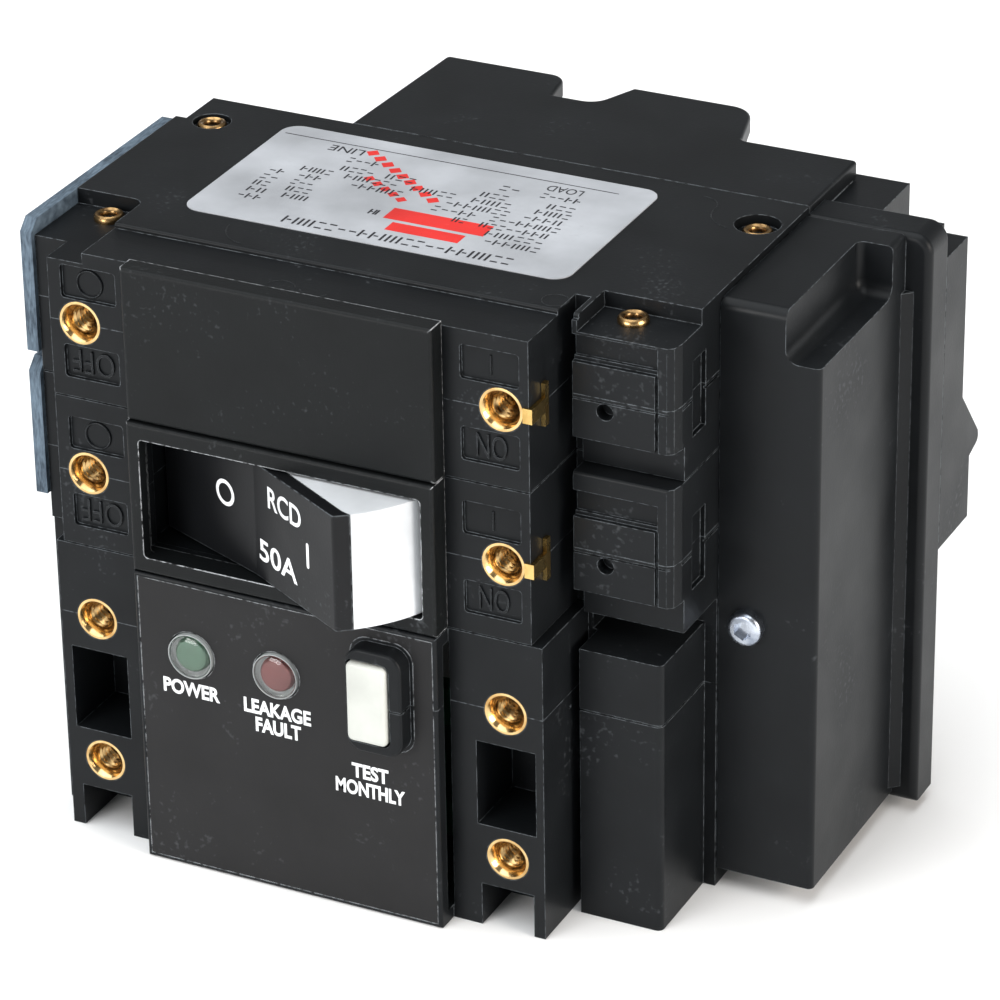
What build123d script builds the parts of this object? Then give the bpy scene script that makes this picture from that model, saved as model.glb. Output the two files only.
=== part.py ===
from build123d import *
from math import cos, sin, radians, sqrt
import os

# Two-pole panel-mounted residual current device, made of separate pieces.
#
# Millimetres. X runs along the rocker's travel, Y runs from the panel into the
# device, Z is up and is the direction in which the poles are stacked.
# The origin is the centre of the eight mounting inserts, on the mounting face.

os.makedirs("parts", exist_ok=True)

# ---------------------------------------------------------------- driving dimensions
pole_pitch = 19.05            # thickness of one pole
insert_x = 26.44              # mounting inserts, half their spacing along X
insert_z = (-1.5 * pole_pitch, -0.5 * pole_pitch, 0.5 * pole_pitch, 1.5 * pole_pitch)
pole_z = {"a": 1.5 * pole_pitch, "b": 0.5 * pole_pitch}    # middle planes of the two poles
top_z = 2 * pole_pitch        # top face; the bottom is the same distance down
seam = 0.08                   # gap between neighbouring mouldings
wall = 1.6                    # moulding wall thickness

proud = 3.0                   # how far bezel and electronics face stand off the mounting face
face_half = 19.4              # half width of the proud faces
column_edge = 29.8            # outer edge of the mounting columns on the poles
module_edge = 31.1            # outer edge of the mounting columns on the electronics module
left_side = -34.6             # left side of the cases
right_side = 44.0             # right side of the cases
block_front = 7.0             # front plane of the blocks at the right end
case_back = 44.0              # back plane of the cases
plate_front = 7.5             # front edge of the raised top plate
ledge_drop = 0.6              # step from the raised top plate down to the front ledge
corner_floor = 36.1           # floor of the two lowered top corners

opening_half_x = 17.8         # rocker opening in the bezel
opening_half_z = 7.5
rocker_pivot_y = 6.0          # rocker axis, parallel to Z, at x = 0
rocker_radius = 19.0          # radius of the rocker's curved ends
rocker_swing = 26.0           # tilt each side of the middle; the device is made OFF
rocker_half_z = 7.2

contact_axis = (4.0, 36.0)    # axis of the contact arms, parallel to Z
arm_reach = 19.5              # contact arm, axis to contact button
arm_open = -18.0              # arm angle with contacts open
arm_travel = 16.0             # arm turn from open to closed
armature_axis = (-8.7, 39.2)

board_y = 12.0                # front of the circuit board
led_x = (-12.2, -1.15)        # green lamp, red lamp
led_z = -9.5
button_centre = (11.75, -8.9)
button_size = (5.0, 10.1)
boss_centre = (12.45, -8.8)   # raised collar round the test button
boss_size = (7.1, 13.2)
boss_front = -5.3

box_right = 56.1              # side housing
box_front = 18.8
box_top = 37.2
box_bottom = -35.6
rim_right = 59.2
rim_front = 43.2
rim_back = 48.2
rim_bottom = -36.5
cover_back = 54.7             # back of the rear cover at its right end
shroud_back = 67.4            # back edge of the terminal shroud
stud_end = 58.3               # back ends of the terminal studs
stud_radius = 2.5


# ---------------------------------------------------------------- shape helpers
def block(x0, x1, y0, y1, z0, z1):
    """Box between two opposite corners."""
    middle = ((x0 + x1) / 2, (y0 + y1) / 2, (z0 + z1) / 2)
    return Pos(*middle) * Box(x1 - x0, y1 - y0, z1 - z0)


def rod_x(y, z, radius, x0, x1):
    """Cylinder along X."""
    return Pos((x0 + x1) / 2, y, z) * Rot(0, 90, 0) * Cylinder(radius, x1 - x0)


def rod_y(x, z, radius, y0, y1):
    """Cylinder along Y."""
    return Pos(x, (y0 + y1) / 2, z) * Rot(90, 0, 0) * Cylinder(radius, y1 - y0)


def rod_z(x, y, radius, z0, z1):
    """Cylinder along Z."""
    return Pos(x, y, (z0 + z1) / 2) * Cylinder(radius, z1 - z0)


def prism_z(points, z0, z1):
    """Polygon given in X and Y, extruded along Z."""
    face = make_face(Polyline(*points, close=True))
    return Pos(0, 0, z0) * extrude(face, amount=z1 - z0, dir=(0, 0, 1))


def prism_x(points, x0, x1):
    """Polygon given in Y and Z, extruded along X."""
    outline = [(x0, y, z) for y, z in points]
    face = make_face(Polyline(*outline, close=True))
    return extrude(face, amount=x1 - x0, dir=(1, 0, 0))


def plate_y(x, z, width, height, radius, y0, y1):
    """Rounded rectangle in X and Z, extruded along Y."""
    face = RectangleRounded(width, height, radius)
    standing = Plane(origin=(x, y1, z), x_dir=(1, 0, 0), z_dir=(0, -1, 0))
    return extrude(standing * face, amount=y1 - y0)


def soften(shape, axis, low, high, radius):
    """Fillet the edges that run along an axis and whose middles lie in a box."""
    picked = []
    for edge in shape.edges().filter_by(axis):
        middle = edge.center()
        inside = all(a <= value <= b for a, value, b in zip(low, middle, high))
        if inside:
            picked.append(edge)
    return fillet(picked, radius) if picked else shape


def turn_about(shape, centre, angle):
    """Turn a shape about a vertical line through a point in X and Y."""
    x, y = centre
    return Pos(x, y, 0) * Rot(0, 0, angle) * Pos(-x, -y, 0) * shape


def save(name, shape):
    """Write one node."""
    export_step(shape, f"parts/{name}.step")


def group(shapes):
    """Separate like pieces kept in one node."""
    return Compound(children=list(shapes))


# ---------------------------------------------------------------- pole cases
def pole_outline():
    """Plan of a pole case: columns left and right, terminal block at the right end."""
    return [
        (-30.3, 0),
        (column_edge, 0),
        (column_edge, 12.0),
        (31.7, 12.0),
        (31.7, block_front),
        (right_side - 1.0, block_front),
        (right_side - 0.3, block_front + 0.5),
        (right_side, block_front + 2.0),
        (right_side, case_back),
        (-33.2, case_back),
        (-33.2, 37.4),
        (left_side, 37.4),
        (left_side, 4.6),
        (-30.3, 4.6),
    ]


def pole_hollow(z):
    """Space inside one pole: rocker bay in front, mechanism behind, arc room at the right."""
    low = z - pole_pitch / 2 + wall
    high = z + pole_pitch / 2 - wall
    bay = block(-19.5, 19.5, 1.5, 19.2, low, high)
    works = block(-33.0, 41.9, 19.2, case_back - wall, low, high)
    side_room = block(33.3, 41.9, 9.2, 19.2, low + 3.6, high - 1.6)
    return bay + works + side_room


def block_relief(z):
    """Steps in the front and side of the right-hand block of a pole."""
    half = pole_pitch / 2
    front = block_front
    cuts = [
        block(31.0, 45.0, front - 1, front + 2.6, z - half - 1, z - 5.3),
        block(31.0, 41.9, front - 1, front + 1.0, z + 4.4, z + 7.2),
        block(31.0, 41.9, front - 1, front + 0.6, z + 3.9, z + 4.4),
        block(41.6, 42.0, front - 1, front + 0.5, z - 5.3, z + 4.0),
        block(right_side - 0.6, 45.0, 11.7, 15.2, z - 5.0, z + 4.2),
        block(right_side - 0.25, 45.0, front + 2, 19.0, z - 0.62, z - 0.38),
        block(31.0, 45.0, front - 1, front + 0.25, z - 0.6, z - 0.4),
    ]
    return Part() + cuts + [rod_y(35.6, z - 1.6, 1.0, front - 1, front + 1.6)]


def glyph_recesses(z):
    """Shallow windows for the embossed position marks above and below each insert."""
    cuts = []
    for side in (-1, 1):
        centre = side * 25.1
        for step in (1, -1):
            middle = z + step * 4.95
            cuts.append(plate_y(centre, middle, 7.1, 4.1, 0.4, -0.5, 0.5))
    return cuts


def insert_holes(z):
    """Blind holes that hold the brass inserts."""
    return [rod_y(side * insert_x, z, 2.2, -1, 9.5) for side in (-1, 1)]


def insert_mouths(z):
    """Countersinks for the cone at the front of each insert."""
    return [Pos(side * insert_x, 0.45, z) * Rot(90, 0, 0) * Cone(2.1, 2.7, 0.9)
            for side in (-1, 1)]


def pole_solid(name):
    """One whole pole case, before it is parted at its middle plane."""
    z = pole_z[name]
    low = z - pole_pitch / 2 + seam
    high = z + pole_pitch / 2 - seam
    case = prism_z(pole_outline(), low, high)
    case -= pole_hollow(z)
    case -= block_relief(z)
    case -= glyph_recesses(z)
    case -= insert_holes(z)
    case -= insert_mouths(z)
    case -= block(-18.7, 18.7, -1, 2, z - opening_half_z - 0.35, z + opening_half_z + 0.35)
    case -= rod_z(*contact_axis, 2.3, z - 8.3, z + 8.3)
    case -= rod_y(-insert_x, z, stud_radius, case_back - 3, case_back + 1)
    case -= rod_y(insert_x, z, stud_radius, case_back - 3, case_back + 1)
    case -= [rod_y(side * 14.0, z + rise, 1.2, case_back - 0.8, case_back + 1)
             for side in (-1, 1) for rise in (-4.5, 4.5)]
    return case


def top_corners():
    """The two lowered corners of the top face, with round inner corners."""
    left = prism_z([(-36, -1), (-25.7, -1), (-25.7, 14.4), (-36, 14.4)], corner_floor, 40)
    left = soften(left, Axis.Z, (-26, 14, 30), (-25, 15, 45), 1.5)
    right = prism_z([(32.3, 5), (45, 5), (45, 14.1), (32.3, 14.1)], corner_floor, 40)
    right = soften(right, Axis.Z, (32, 13, 30), (33, 14, 45), 2.6)
    return left + right


def pole_a_cases():
    """Top pole: its upper half carries the label, the ledge and the lowered corners."""
    case = pole_solid("a")
    ledge = top_z - seam - ledge_drop
    case -= block(-40, 32.4, -1, plate_front, ledge, 40)
    case -= top_corners()
    case -= rod_z(40.6, 37.1, 2.7, top_z - 1.4, 40)
    case -= rod_z(-29.9, 37.7, 2.3, top_z - 0.9, 40)
    case = soften(case, Axis.X, (-26, 7, 37.5), (33, 8, 38.5), 0.35)
    split_case("pole_a", case, pole_z["a"])


def split_case(name, case, z):
    """Part a case at a plane and write both half shells."""
    upper = case & block(-60, 60, -20, 60, z, z + 15)
    lower = case & block(-60, 60, -20, 60, z - 15, z)
    if name == "pole_a":
        lower -= rod_z(*contact_axis, 2.3, z - 10, z)
    if name == "pole_b":
        upper -= rod_z(*contact_axis, 2.3, z, z + 10)
        slot = block(-10.6, -4.2, 26.0, 31.0, z - 10, z)
        lower -= slot
    save(f"{name}_upper_case", upper)
    save(f"{name}_lower_case", lower)


def pole_b_cases():
    """Second pole: the rocker's axle sits in both of its half shells."""
    case = pole_solid("b")
    z = pole_z["b"]
    case -= rod_z(0, rocker_pivot_y, 1.5, z - 8.6, z + 8.6)
    case = soften(case, Axis.X, (31, 6.9, 17), (45, 7.2, 20), 0.4)
    split_case("pole_b", case, z)


# ---------------------------------------------------------------- front pieces of the poles
def cover_plate():
    """Blank plate clipped over the top pole, where a second handle would be."""
    z = pole_z["a"]
    low = z - pole_pitch / 2 + seam
    high = top_z - 0.2
    plate = block(-face_half, face_half, -2.6, -0.02, low, high)
    plate = fillet(plate.edges().group_by(Axis.Y)[0], 0.45)
    plate -= block(-face_half + 1.4, face_half - 1.4, -1.1, 0, low + 1.4, high - 1.4)
    for side in (-1, 1):
        for rise in (-1, 1):
            foot = z + rise * (opening_half_z - 0.8)
            leg = block(side * 10 - 2, side * 10 + 2, -1.2, 4.5, foot - 0.5, foot + 0.5)
            barb = block(side * 10 - 2, side * 10 + 2, 2.1, 3.2, foot - 0.5, foot + 0.5)
            plate += leg + Pos(0, 0, rise * 0.5) * barb
    save("cover_plate", plate)


def rocker_bezel():
    """Frame round the rocker opening, clipped into the second pole."""
    z = pole_z["b"]
    low = z - pole_pitch / 2 + seam
    high = z + pole_pitch / 2 - seam
    frame = block(-face_half, face_half, -proud, -0.02, low, high)
    frame = fillet(frame.edges().group_by(Axis.Y)[0], 0.4)
    frame -= block(-18.5, 18.5, -1.4, 0, z - opening_half_z, z + opening_half_z)
    opening = plate_y(0, z, 2 * opening_half_x, 2 * opening_half_z, 0.5, -proud - 1, 1)
    frame -= opening
    save("rocker_bezel", frame)


def arc_barriers():
    """Two vulcanised fibre plates that close the left ends of the poles."""
    plates = []
    for top, bottom in ((37.9, 21.6), (20.4, 3.3)):
        outline = [
            (4.0, bottom),
            (36.8, bottom),
            (36.8, top),
            (5.4, top),
            (4.0, top - 1.4),
        ]
        plates.append(prism_x(outline, left_side - 1.55, left_side - 0.05))
    save("arc_barriers", group(plates))


# ---------------------------------------------------------------- rocker
def arc_point(angle, radius=rocker_radius):
    """Point on a circle about the rocker axis; zero degrees points out of the panel."""
    turn = radians(angle)
    return radius * sin(turn), rocker_pivot_y - radius * cos(turn)


face_corner_x = 16.4          # outer corners of the rocker's face, rocker level
face_valley_y = -2.6          # middle of the face, rocker level
face_corner_y = -3.6
cap_thickness = 1.6
shoulder_angle = 65.7         # where face ends and curved end begins
tail_angle = 95.0             # where the curved end stops


def end_wall(side, thickness):
    """Plan of a curved end wall: a band of the rocker circle."""
    start = shoulder_angle - 3.5
    middle = (start + tail_angle) / 2
    outer_radius = rocker_radius - 0.05
    outer = ThreePointArc(
        arc_point(side * start, outer_radius),
        arc_point(side * middle, outer_radius),
        arc_point(side * tail_angle, outer_radius),
    )
    inner_radius = rocker_radius - thickness
    inner = ThreePointArc(
        arc_point(side * tail_angle, inner_radius),
        arc_point(side * middle, inner_radius),
        arc_point(side * start, inner_radius),
    )
    ends = [Line(outer @ 1, inner @ 0), Line(inner @ 1, outer @ 0)]
    return make_face([outer, ends[0], inner, ends[1]])


def flat_part(face, low, high):
    """Extrude a face in X and Y between two heights."""
    return Pos(0, 0, low) * extrude(face, amount=high - low, dir=(0, 0, 1))


def rocker_pieces():
    """Rocker with its white end insert, axle and link pin, built level and turned to OFF."""
    z = pole_z["b"]
    low = z - rocker_half_z
    high = z + rocker_half_z
    shoulder_x, shoulder_y = arc_point(shoulder_angle)
    face_plan = [
        (-shoulder_x, shoulder_y),
        (-face_corner_x, face_corner_y),
        (0, face_valley_y),
        (face_corner_x, face_corner_y),
        (shoulder_x, shoulder_y),
        (face_corner_x - 0.4, face_corner_y + cap_thickness),
        (0, face_valley_y + cap_thickness),
        (-face_corner_x + 0.4, face_corner_y + cap_thickness),
    ]
    body = prism_z(face_plan, low, high)
    edges = [(-face_corner_x, face_corner_y), (face_corner_x, face_corner_y)]
    for x, y in edges:
        body = soften(body, Axis.Z, (x - 0.2, y - 0.2, 0), (x + 0.2, y + 0.2, 20), 0.5)
    body += flat_part(end_wall(-1, 1.8), low, high)
    body += block(-1.6, 1.6, face_valley_y + 0.8, rocker_pivot_y, low, high)
    body += rod_z(0, rocker_pivot_y, 3.2, low, high)
    for cheek in (-2.7, 1.3):
        lug = block(-2.0, 2.0, rocker_pivot_y, 13.0, z + cheek, z + cheek + 1.4)
        body += lug + rod_z(0, 13.0, 2.0, z + cheek, z + cheek + 1.4)
    body -= rod_z(0, rocker_pivot_y, 1.55, low - 1, high + 1)
    body -= rod_z(0, 13.0, 0.9, z - 5, z + 5)

    under = [
        (1.7, face_valley_y + cap_thickness + 0.10),
        (face_corner_x - 0.45, face_corner_y + cap_thickness + 0.02),
        (shoulder_x - 0.25, shoulder_y),
        arc_point((shoulder_angle + tail_angle) / 2, rocker_radius - 0.6),
        arc_point(tail_angle, rocker_radius - 0.6),
        (13.5, 5.2),
        (1.7, 1.2),
    ]
    insert = prism_z(under, low + 0.03, high - 0.03)
    insert += flat_part(end_wall(1, 2.2), low + 0.03, high - 0.03)
    insert -= body
    insert = max(insert.solids(), key=lambda solid: solid.volume)

    angle = -rocker_swing
    centre = (0, rocker_pivot_y)
    save("rocker", turn_about(body, centre, angle))
    save("rocker_insert", turn_about(insert, centre, angle))
    pin = rod_z(0, 13.0, 0.9, z - 2.7, z + 2.7)
    save("link_pin", turn_about(pin, centre, angle))
    save("rocker_axle", rod_z(0, rocker_pivot_y, 1.5, z - 8.5, z + 8.5))


# ---------------------------------------------------------------- contact mechanism
crank_offset = (-7.0, -3.0)   # crank pin from the contact axis, contacts open
lug_reach = 7.0               # link pin from the rocker axis


def link_ends():
    """Top and bottom pivots of the drive link with the rocker at OFF."""
    turn = radians(rocker_swing)
    top = (lug_reach * sin(turn), rocker_pivot_y + lug_reach * cos(turn))
    bottom = (contact_axis[0] + crank_offset[0], contact_axis[1] + crank_offset[1])
    return top, bottom


def drive_link():
    """Slotted link from the rocker to the crank on the contact shaft."""
    z = pole_z["b"]
    (x0, y0), (x1, y1) = link_ends()
    length = sqrt((x1 - x0) ** 2 + (y1 - y0) ** 2)
    bar = block(-1.6, 1.6, 0, length, z - 1.0, z + 1.0)
    bar += rod_z(0, 0, 2.0, z - 1.0, z + 1.0)
    bar += block(-2.5, 2.5, length - 5.4, length, z - 1.0, z + 1.0)
    bar += rod_z(0, length, 2.5, z - 1.0, z + 1.0)
    bar -= rod_z(0, 0, 0.95, z - 2, z + 2)
    bar -= block(-1.55, 1.55, length - 4.1, length, z - 2, z + 2)
    bar -= rod_z(0, length, 1.55, z - 2, z + 2)
    lean = Vector(0, 1, 0).get_signed_angle(Vector(x1 - x0, y1 - y0, 0), Vector(0, 0, 1))
    save("drive_link", Pos(x0, y0, 0) * Rot(0, 0, lean) * bar)


def contact_pieces():
    """Common shaft with one contact arm per pole and the crank that turns it."""
    x, y = contact_axis
    save("contact_shaft", rod_z(x, y, 2.0, 2.0, top_z - 2.0))
    half = 1.2
    for name, z in pole_z.items():
        arm = block(0, arm_reach + 1.6, -half, half, z - 2.5, z + 2.5)
        arm += rod_z(0, 0, 3.4, z - 2.5, z + 2.5)
        arm -= rod_z(0, 0, 2.0, z - 4, z + 4)
        save(f"contact_arm_{name}", Pos(x, y, 0) * Rot(0, 0, arm_open) * arm)
    buttons = []
    for z in pole_z.values():
        button = rod_y(arm_reach, z, 2.2, half, half + 1.1)
        buttons.append(Pos(x, y, 0) * Rot(0, 0, arm_open) * button)
    save("moving_contacts", group(buttons))

    z = pole_z["b"]
    dx, dy = crank_offset
    reach = sqrt(dx * dx + dy * dy)
    lean = Vector(1, 0, 0).get_signed_angle(Vector(dx, dy, 0), Vector(0, 0, 1))
    cheeks = []
    for low in (z - 4.2, z + 2.8):
        cheek = block(0, reach, -1.6, 1.6, low, low + 1.4)
        cheek += rod_z(reach, 0, 1.6, low, low + 1.4) + rod_z(0, 0, 3.4, low, low + 1.4)
        cheek -= rod_z(0, 0, 2.0, low - 1, low + 3)
        cheek -= rod_z(reach, 0, 0.95, low - 1, low + 3)
        cheeks.append(Pos(x, y, 0) * Rot(0, 0, lean) * cheek)
    save("crank_cheeks", group(cheeks))
    save("crank_pin", rod_z(x + dx, y + dy, 0.95, z - 4.2, z + 4.2))


def fixed_contacts():
    """Fixed contact pads that the arms meet when closed."""
    closed = radians(arm_open + arm_travel)
    pad_x = contact_axis[0] + arm_reach * cos(closed)
    pad_y = contact_axis[1] + arm_reach * sin(closed) + 2.3 + 0.2
    pads = [rod_y(pad_x, z, 2.6, pad_y, 39.4) for z in pole_z.values()]
    save("fixed_contacts", group(pads))


def terminals():
    """Copper bars inside the back of each pole and the studs that leave it."""
    for name, z in pole_z.items():
        load = block(19.5, 32.0, 39.4, 41.4, z - 4.5, z + 4.5)
        load += block(24.0, 29.0, 41.4, case_back - wall, z - 2.4, z + 2.4)
        save(f"load_terminal_{name}", load)
        line = block(-32.0, -21.0, 40.6, case_back - wall, z - 4.5, z + 4.5)
        save(f"line_terminal_{name}", line)
    studs = []
    for z in pole_z.values():
        for side in (-1, 1):
            stud = rod_y(side * insert_x, z, stud_radius, case_back - wall, stud_end)
            stud = chamfer(stud.edges().sort_by(Axis.Y)[-1], 0.5)
            studs.append(stud)
    save("terminal_studs", group(studs))
    nuts = []
    for z in pole_z.values():
        hexagon = Plane(origin=(-insert_x, case_back + 4.2, z), z_dir=(0, -1, 0))
        nut = extrude(hexagon * RegularPolygon(4.4, 6), amount=4.0)
        nuts.append(nut - rod_y(-insert_x, z, stud_radius, case_back, case_back + 6))
    save("terminal_nuts", group(nuts))


def arc_chutes():
    """Stacks of notched steel plates that cool the arc beside the contacts."""
    for name, z in pole_z.items():
        plates = []
        for step in range(6):
            y = 23.0 + step * 2.4
            plate = block(27.6, 37.6, y, y + 0.9, z - 7.0, z + 7.0)
            plate -= prism_notch(27.6, 33.0, y, z)
            plates.append(plate)
        save(f"arc_chute_{name}", group(plates))


def prism_notch(x0, x1, y, z):
    """Wedge cut into the open edge of an arc plate."""
    corners = [(x0 - 1, y - 1, z - 3.0), (x0 - 1, y - 1, z + 3.0), (x1, y - 1, z)]
    return extrude(make_face(Polyline(*corners, close=True)), amount=3, dir=(0, 1, 0))


def trip_magnets():
    """Current coil round a hydraulic delay tube, its frame and the hinged armature."""
    coil_y = 33.0
    for name, z in pole_z.items():
        frame = block(-31.8, -9.4, 38.5, 39.9, z - 4.5, z + 4.5)
        frame += block(-31.8, -30.4, 27.0, 38.5, z - 4.5, z + 4.5)
        frame -= rod_x(coil_y, z, 2.8, -33, -30)
        frame -= block(-10.5, -8, 37.6, 41, z - 1.5, z + 1.5)
        save(f"magnet_frame_{name}", frame)
        tube = rod_x(coil_y, z, 2.8, -31.8, -11.9) + rod_x(coil_y, z, 4.2, -11.9, -10.4)
        save(f"delay_tube_{name}", tube)
        coil = rod_x(coil_y, z, 5.3, -30.2, -12.1) - rod_x(coil_y, z, 2.9, -31, -12)
        save(f"coil_{name}", coil)
        x, y = armature_axis
        flap = block(x - 0.6, x + 0.6, 27.0, 37.8, z - 4.0, z + 4.0)
        flap += block(x - 0.6, x + 0.6, 37.8, y, z - 1.2, z + 1.2)
        flap += rod_z(x, y, 1.0, z - 1.2, z + 1.2)
        save(f"armature_{name}", flap)


# ---------------------------------------------------------------- electronics module
module_bottom = -top_z
module_top = -seam
module_parting = -9.3         # parting plane of the module's two half shells
block_parting = -11.1         # the parting plane steps down inside the right-hand block
block_top = -3.3


def module_outline():
    """Plan of the electronics module behind the mounting face."""
    return [
        (-31.3, 0),
        (module_edge, 0),
        (module_edge, 12.0),
        (32.3, 12.0),
        (32.3, block_front),
        (42.5, block_front),
        (42.5, 18.7),
        (right_side, 18.7),
        (right_side, case_back),
        (-33.2, case_back),
        (-33.2, 37.4),
        (left_side, 37.4),
        (left_side, 5.0),
        (-31.3, 5.0),
    ]


def module_cases():
    """Two half shells of the electronics module with its proud front face."""
    case = prism_z(module_outline(), module_bottom, module_top)
    case -= block(31.7, 50, 6, 18.7, block_top, 1)
    front = block(-face_half, face_half, -proud, 0.5, module_bottom, module_top)
    front = fillet(front.edges().group_by(Axis.Y)[0], 0.35)
    case += front
    boss = plate_y(*boss_centre, *boss_size, 2.0, boss_front, 0)
    boss = fillet(boss.edges().group_by(Axis.Y)[0], 0.4)
    case += boss
    case = soften(case, Axis.Z, (42, 6.9, -40), (43, 7.1, 0), 0.8)
    case -= block(-31.0, 31.0, 11.0, 19.2, module_bottom + wall, module_top - wall)
    case -= block(-19.5, 19.5, -1.4, 12, module_bottom + wall, module_top - wall)
    case -= block(-33.0, 41.9, 19.2, case_back - wall, module_bottom + wall, module_top - wall)
    case -= block(33.9, 40.9, 8.6, 19.5, module_bottom + wall, block_top - wall)
    for side in (-1, 1):
        centre = side * 26.4
        pocket = block(centre - 3.7, centre + 3.7, -1, 9.0, -24.7, -13.8)
        slot = block(centre - 3.3, centre + 3.3, -1, 7.5, -39, -32.6)
        case -= pocket + slot
    for z in insert_z[:2]:
        case -= insert_holes(z)
        case -= insert_mouths(z)
    for x in led_x:
        case -= rod_y(x, led_z, 3.0, -4, 2)
    width, height = button_size
    hole = plate_y(*button_centre, width + 0.5, height + 0.5, 0.9, -7, 2)
    case -= hole
    case -= block(-10.6, -4.2, 26.0, 31.0, module_top - 3, module_top + 1)
    upper_region = block(-60, 31.6, -20, 60, module_parting, 5)
    upper_region += block(31.6, 60, -20, 60, block_parting, 5)
    groove = block(30.9, 43, 6.8, 7.25, block_parting - 0.12, block_parting + 0.12)
    groove += block(42.25, 43, 6.8, 18.6, block_parting - 0.12, block_parting + 0.12)
    groove += block(13.8, 17, -6, -3.02, module_parting - 0.12, module_parting + 0.12) \
        - plate_y(*boss_centre, boss_size[0] - 0.5, boss_size[1] - 0.5, 1.8, -5.05, 0)
    case -= groove
    overlay_bed = block(-face_half + 0.5, face_half - 0.5, -4, -proud + 0.25,
                        module_bottom + 0.5, module_top - 0.5)
    overlay_bed -= plate_y(*boss_centre, boss_size[0] + 0.8, boss_size[1] + 0.8, 2.3, -7, 0)
    case -= overlay_bed & block(-60, 60, -proud - 0.01, 0, -60, 60)
    save("module_upper_case", case & upper_region)
    save("module_lower_case", case - upper_region)
    film = overlay_bed & block(-60, 60, -proud + 0.03, -proud + 0.25, -60, 60)
    for x in led_x:
        film -= rod_y(x, led_z, 3.0, -4, 2)
    save("face_overlay", film)


def lamps():
    """Green and red indicator lamps: clear domed lens, flange behind the wall, two leads."""
    for name, x in zip(("green_lamp", "red_lamp"), led_x):
        lens = rod_y(x, led_z, 2.85, -3.3, 3.5)
        dome = Pos(x, -3.3 + 5.6, led_z) * Sphere(6.3)
        dome &= rod_y(x, led_z, 2.85, -6, -3.3)
        lamp = lens + dome
        for step in (-1.27, 1.27):
            lamp += rod_y(x + step, led_z, 0.3, 3.5, board_y - 0.02)
        save(name, lamp)


def test_switch():
    """Test button, its return spring and the leaf contact that it presses."""
    x, z = button_centre
    width, height = button_size
    flange = -1.1
    button = plate_y(x, z, width, height, 0.7, -5.8, flange)
    button = fillet(button.edges().group_by(Axis.Y)[0], 0.45)
    button += plate_y(x, z, width + 1.6, height + 1.6, 0.7, flange, flange + 1.0)
    button += rod_y(x, z, 1.1, flange + 1.0, board_y - 2.4)
    save("test_button", button)
    spring_body = rod_y(x, z, 2.1, flange + 1.0, board_y - 3.2)
    spring_body -= rod_y(x, z, 1.5, flange, board_y)
    save("button_spring", spring_body)
    base = block(x - 3.2, x + 3.2, board_y - 3.2, board_y, z - 3.2, z + 3.2)
    base -= rod_y(x, z, 1.3, board_y - 4, board_y - 1)
    save("test_contact_block", base)


def electronics():
    """Circuit board, current sensor, trip solenoid and the board's larger components."""
    board = block(-30.0, 30.0, board_y, board_y + 1.6, -35.5, -2.6)
    board -= [rod_y(x, z, 1.0, board_y - 1, board_y + 3) for x in (-27, 27) for z in (-33, -5.5)]
    save("circuit_board", board)

    tall = board_y + 1.6
    parts = [
        rod_y(-24, -11, 4.0, tall, tall + 10),
        rod_y(-24, -22, 4.0, tall, tall + 10),
        block(-17, -7, tall, tall + 6, -34, -26),
        block(19.0, 24.6, tall, tall + 5, -16, -6),
        block(-4, 6, tall, tall + 2.5, -12, -6),
    ]
    save("board_components", group(parts))

    middle = (18.0, -20.5)
    ring = rod_y(*middle, 13.0, 24.0, 33.0) - rod_y(*middle, 6.5, 23, 34)
    ring = fillet(ring.edges().filter_by(GeomType.CIRCLE), 1.2)
    save("current_sensor", ring)
    bars = []
    for step in (-2.6, 2.6):
        x, z = middle
        bars.append(block(x - 3.4, x + 3.4, 21.0, case_back - wall, z + step - 1.4, z + step + 1.4))
    save("sensed_conductors", group(bars))
    posts = []
    for x in (-27, 27):
        for z in (-33, -5.5):
            posts.append(rod_y(x, z, 0.98, board_y - 1.0, board_y + 3.0)
                         + rod_y(x, z, 1.9, board_y + 1.6, board_y + 3.0))
    save("board_screws", group(posts))

    coil = block(-20.0, -9.2, 24.5, 33.0, -14.0, -5.6)
    coil -= rod_x(28.6, -9.8, 1.25, -22, -8)
    save("trip_solenoid", coil)
    plunger = rod_x(28.6, -9.8, 1.2, -18.0, -7.2)
    finger = block(-7.9, -6.6, 27.4, 29.8, -11.5, 6.4)
    save("trip_plunger", plunger + finger)


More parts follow.
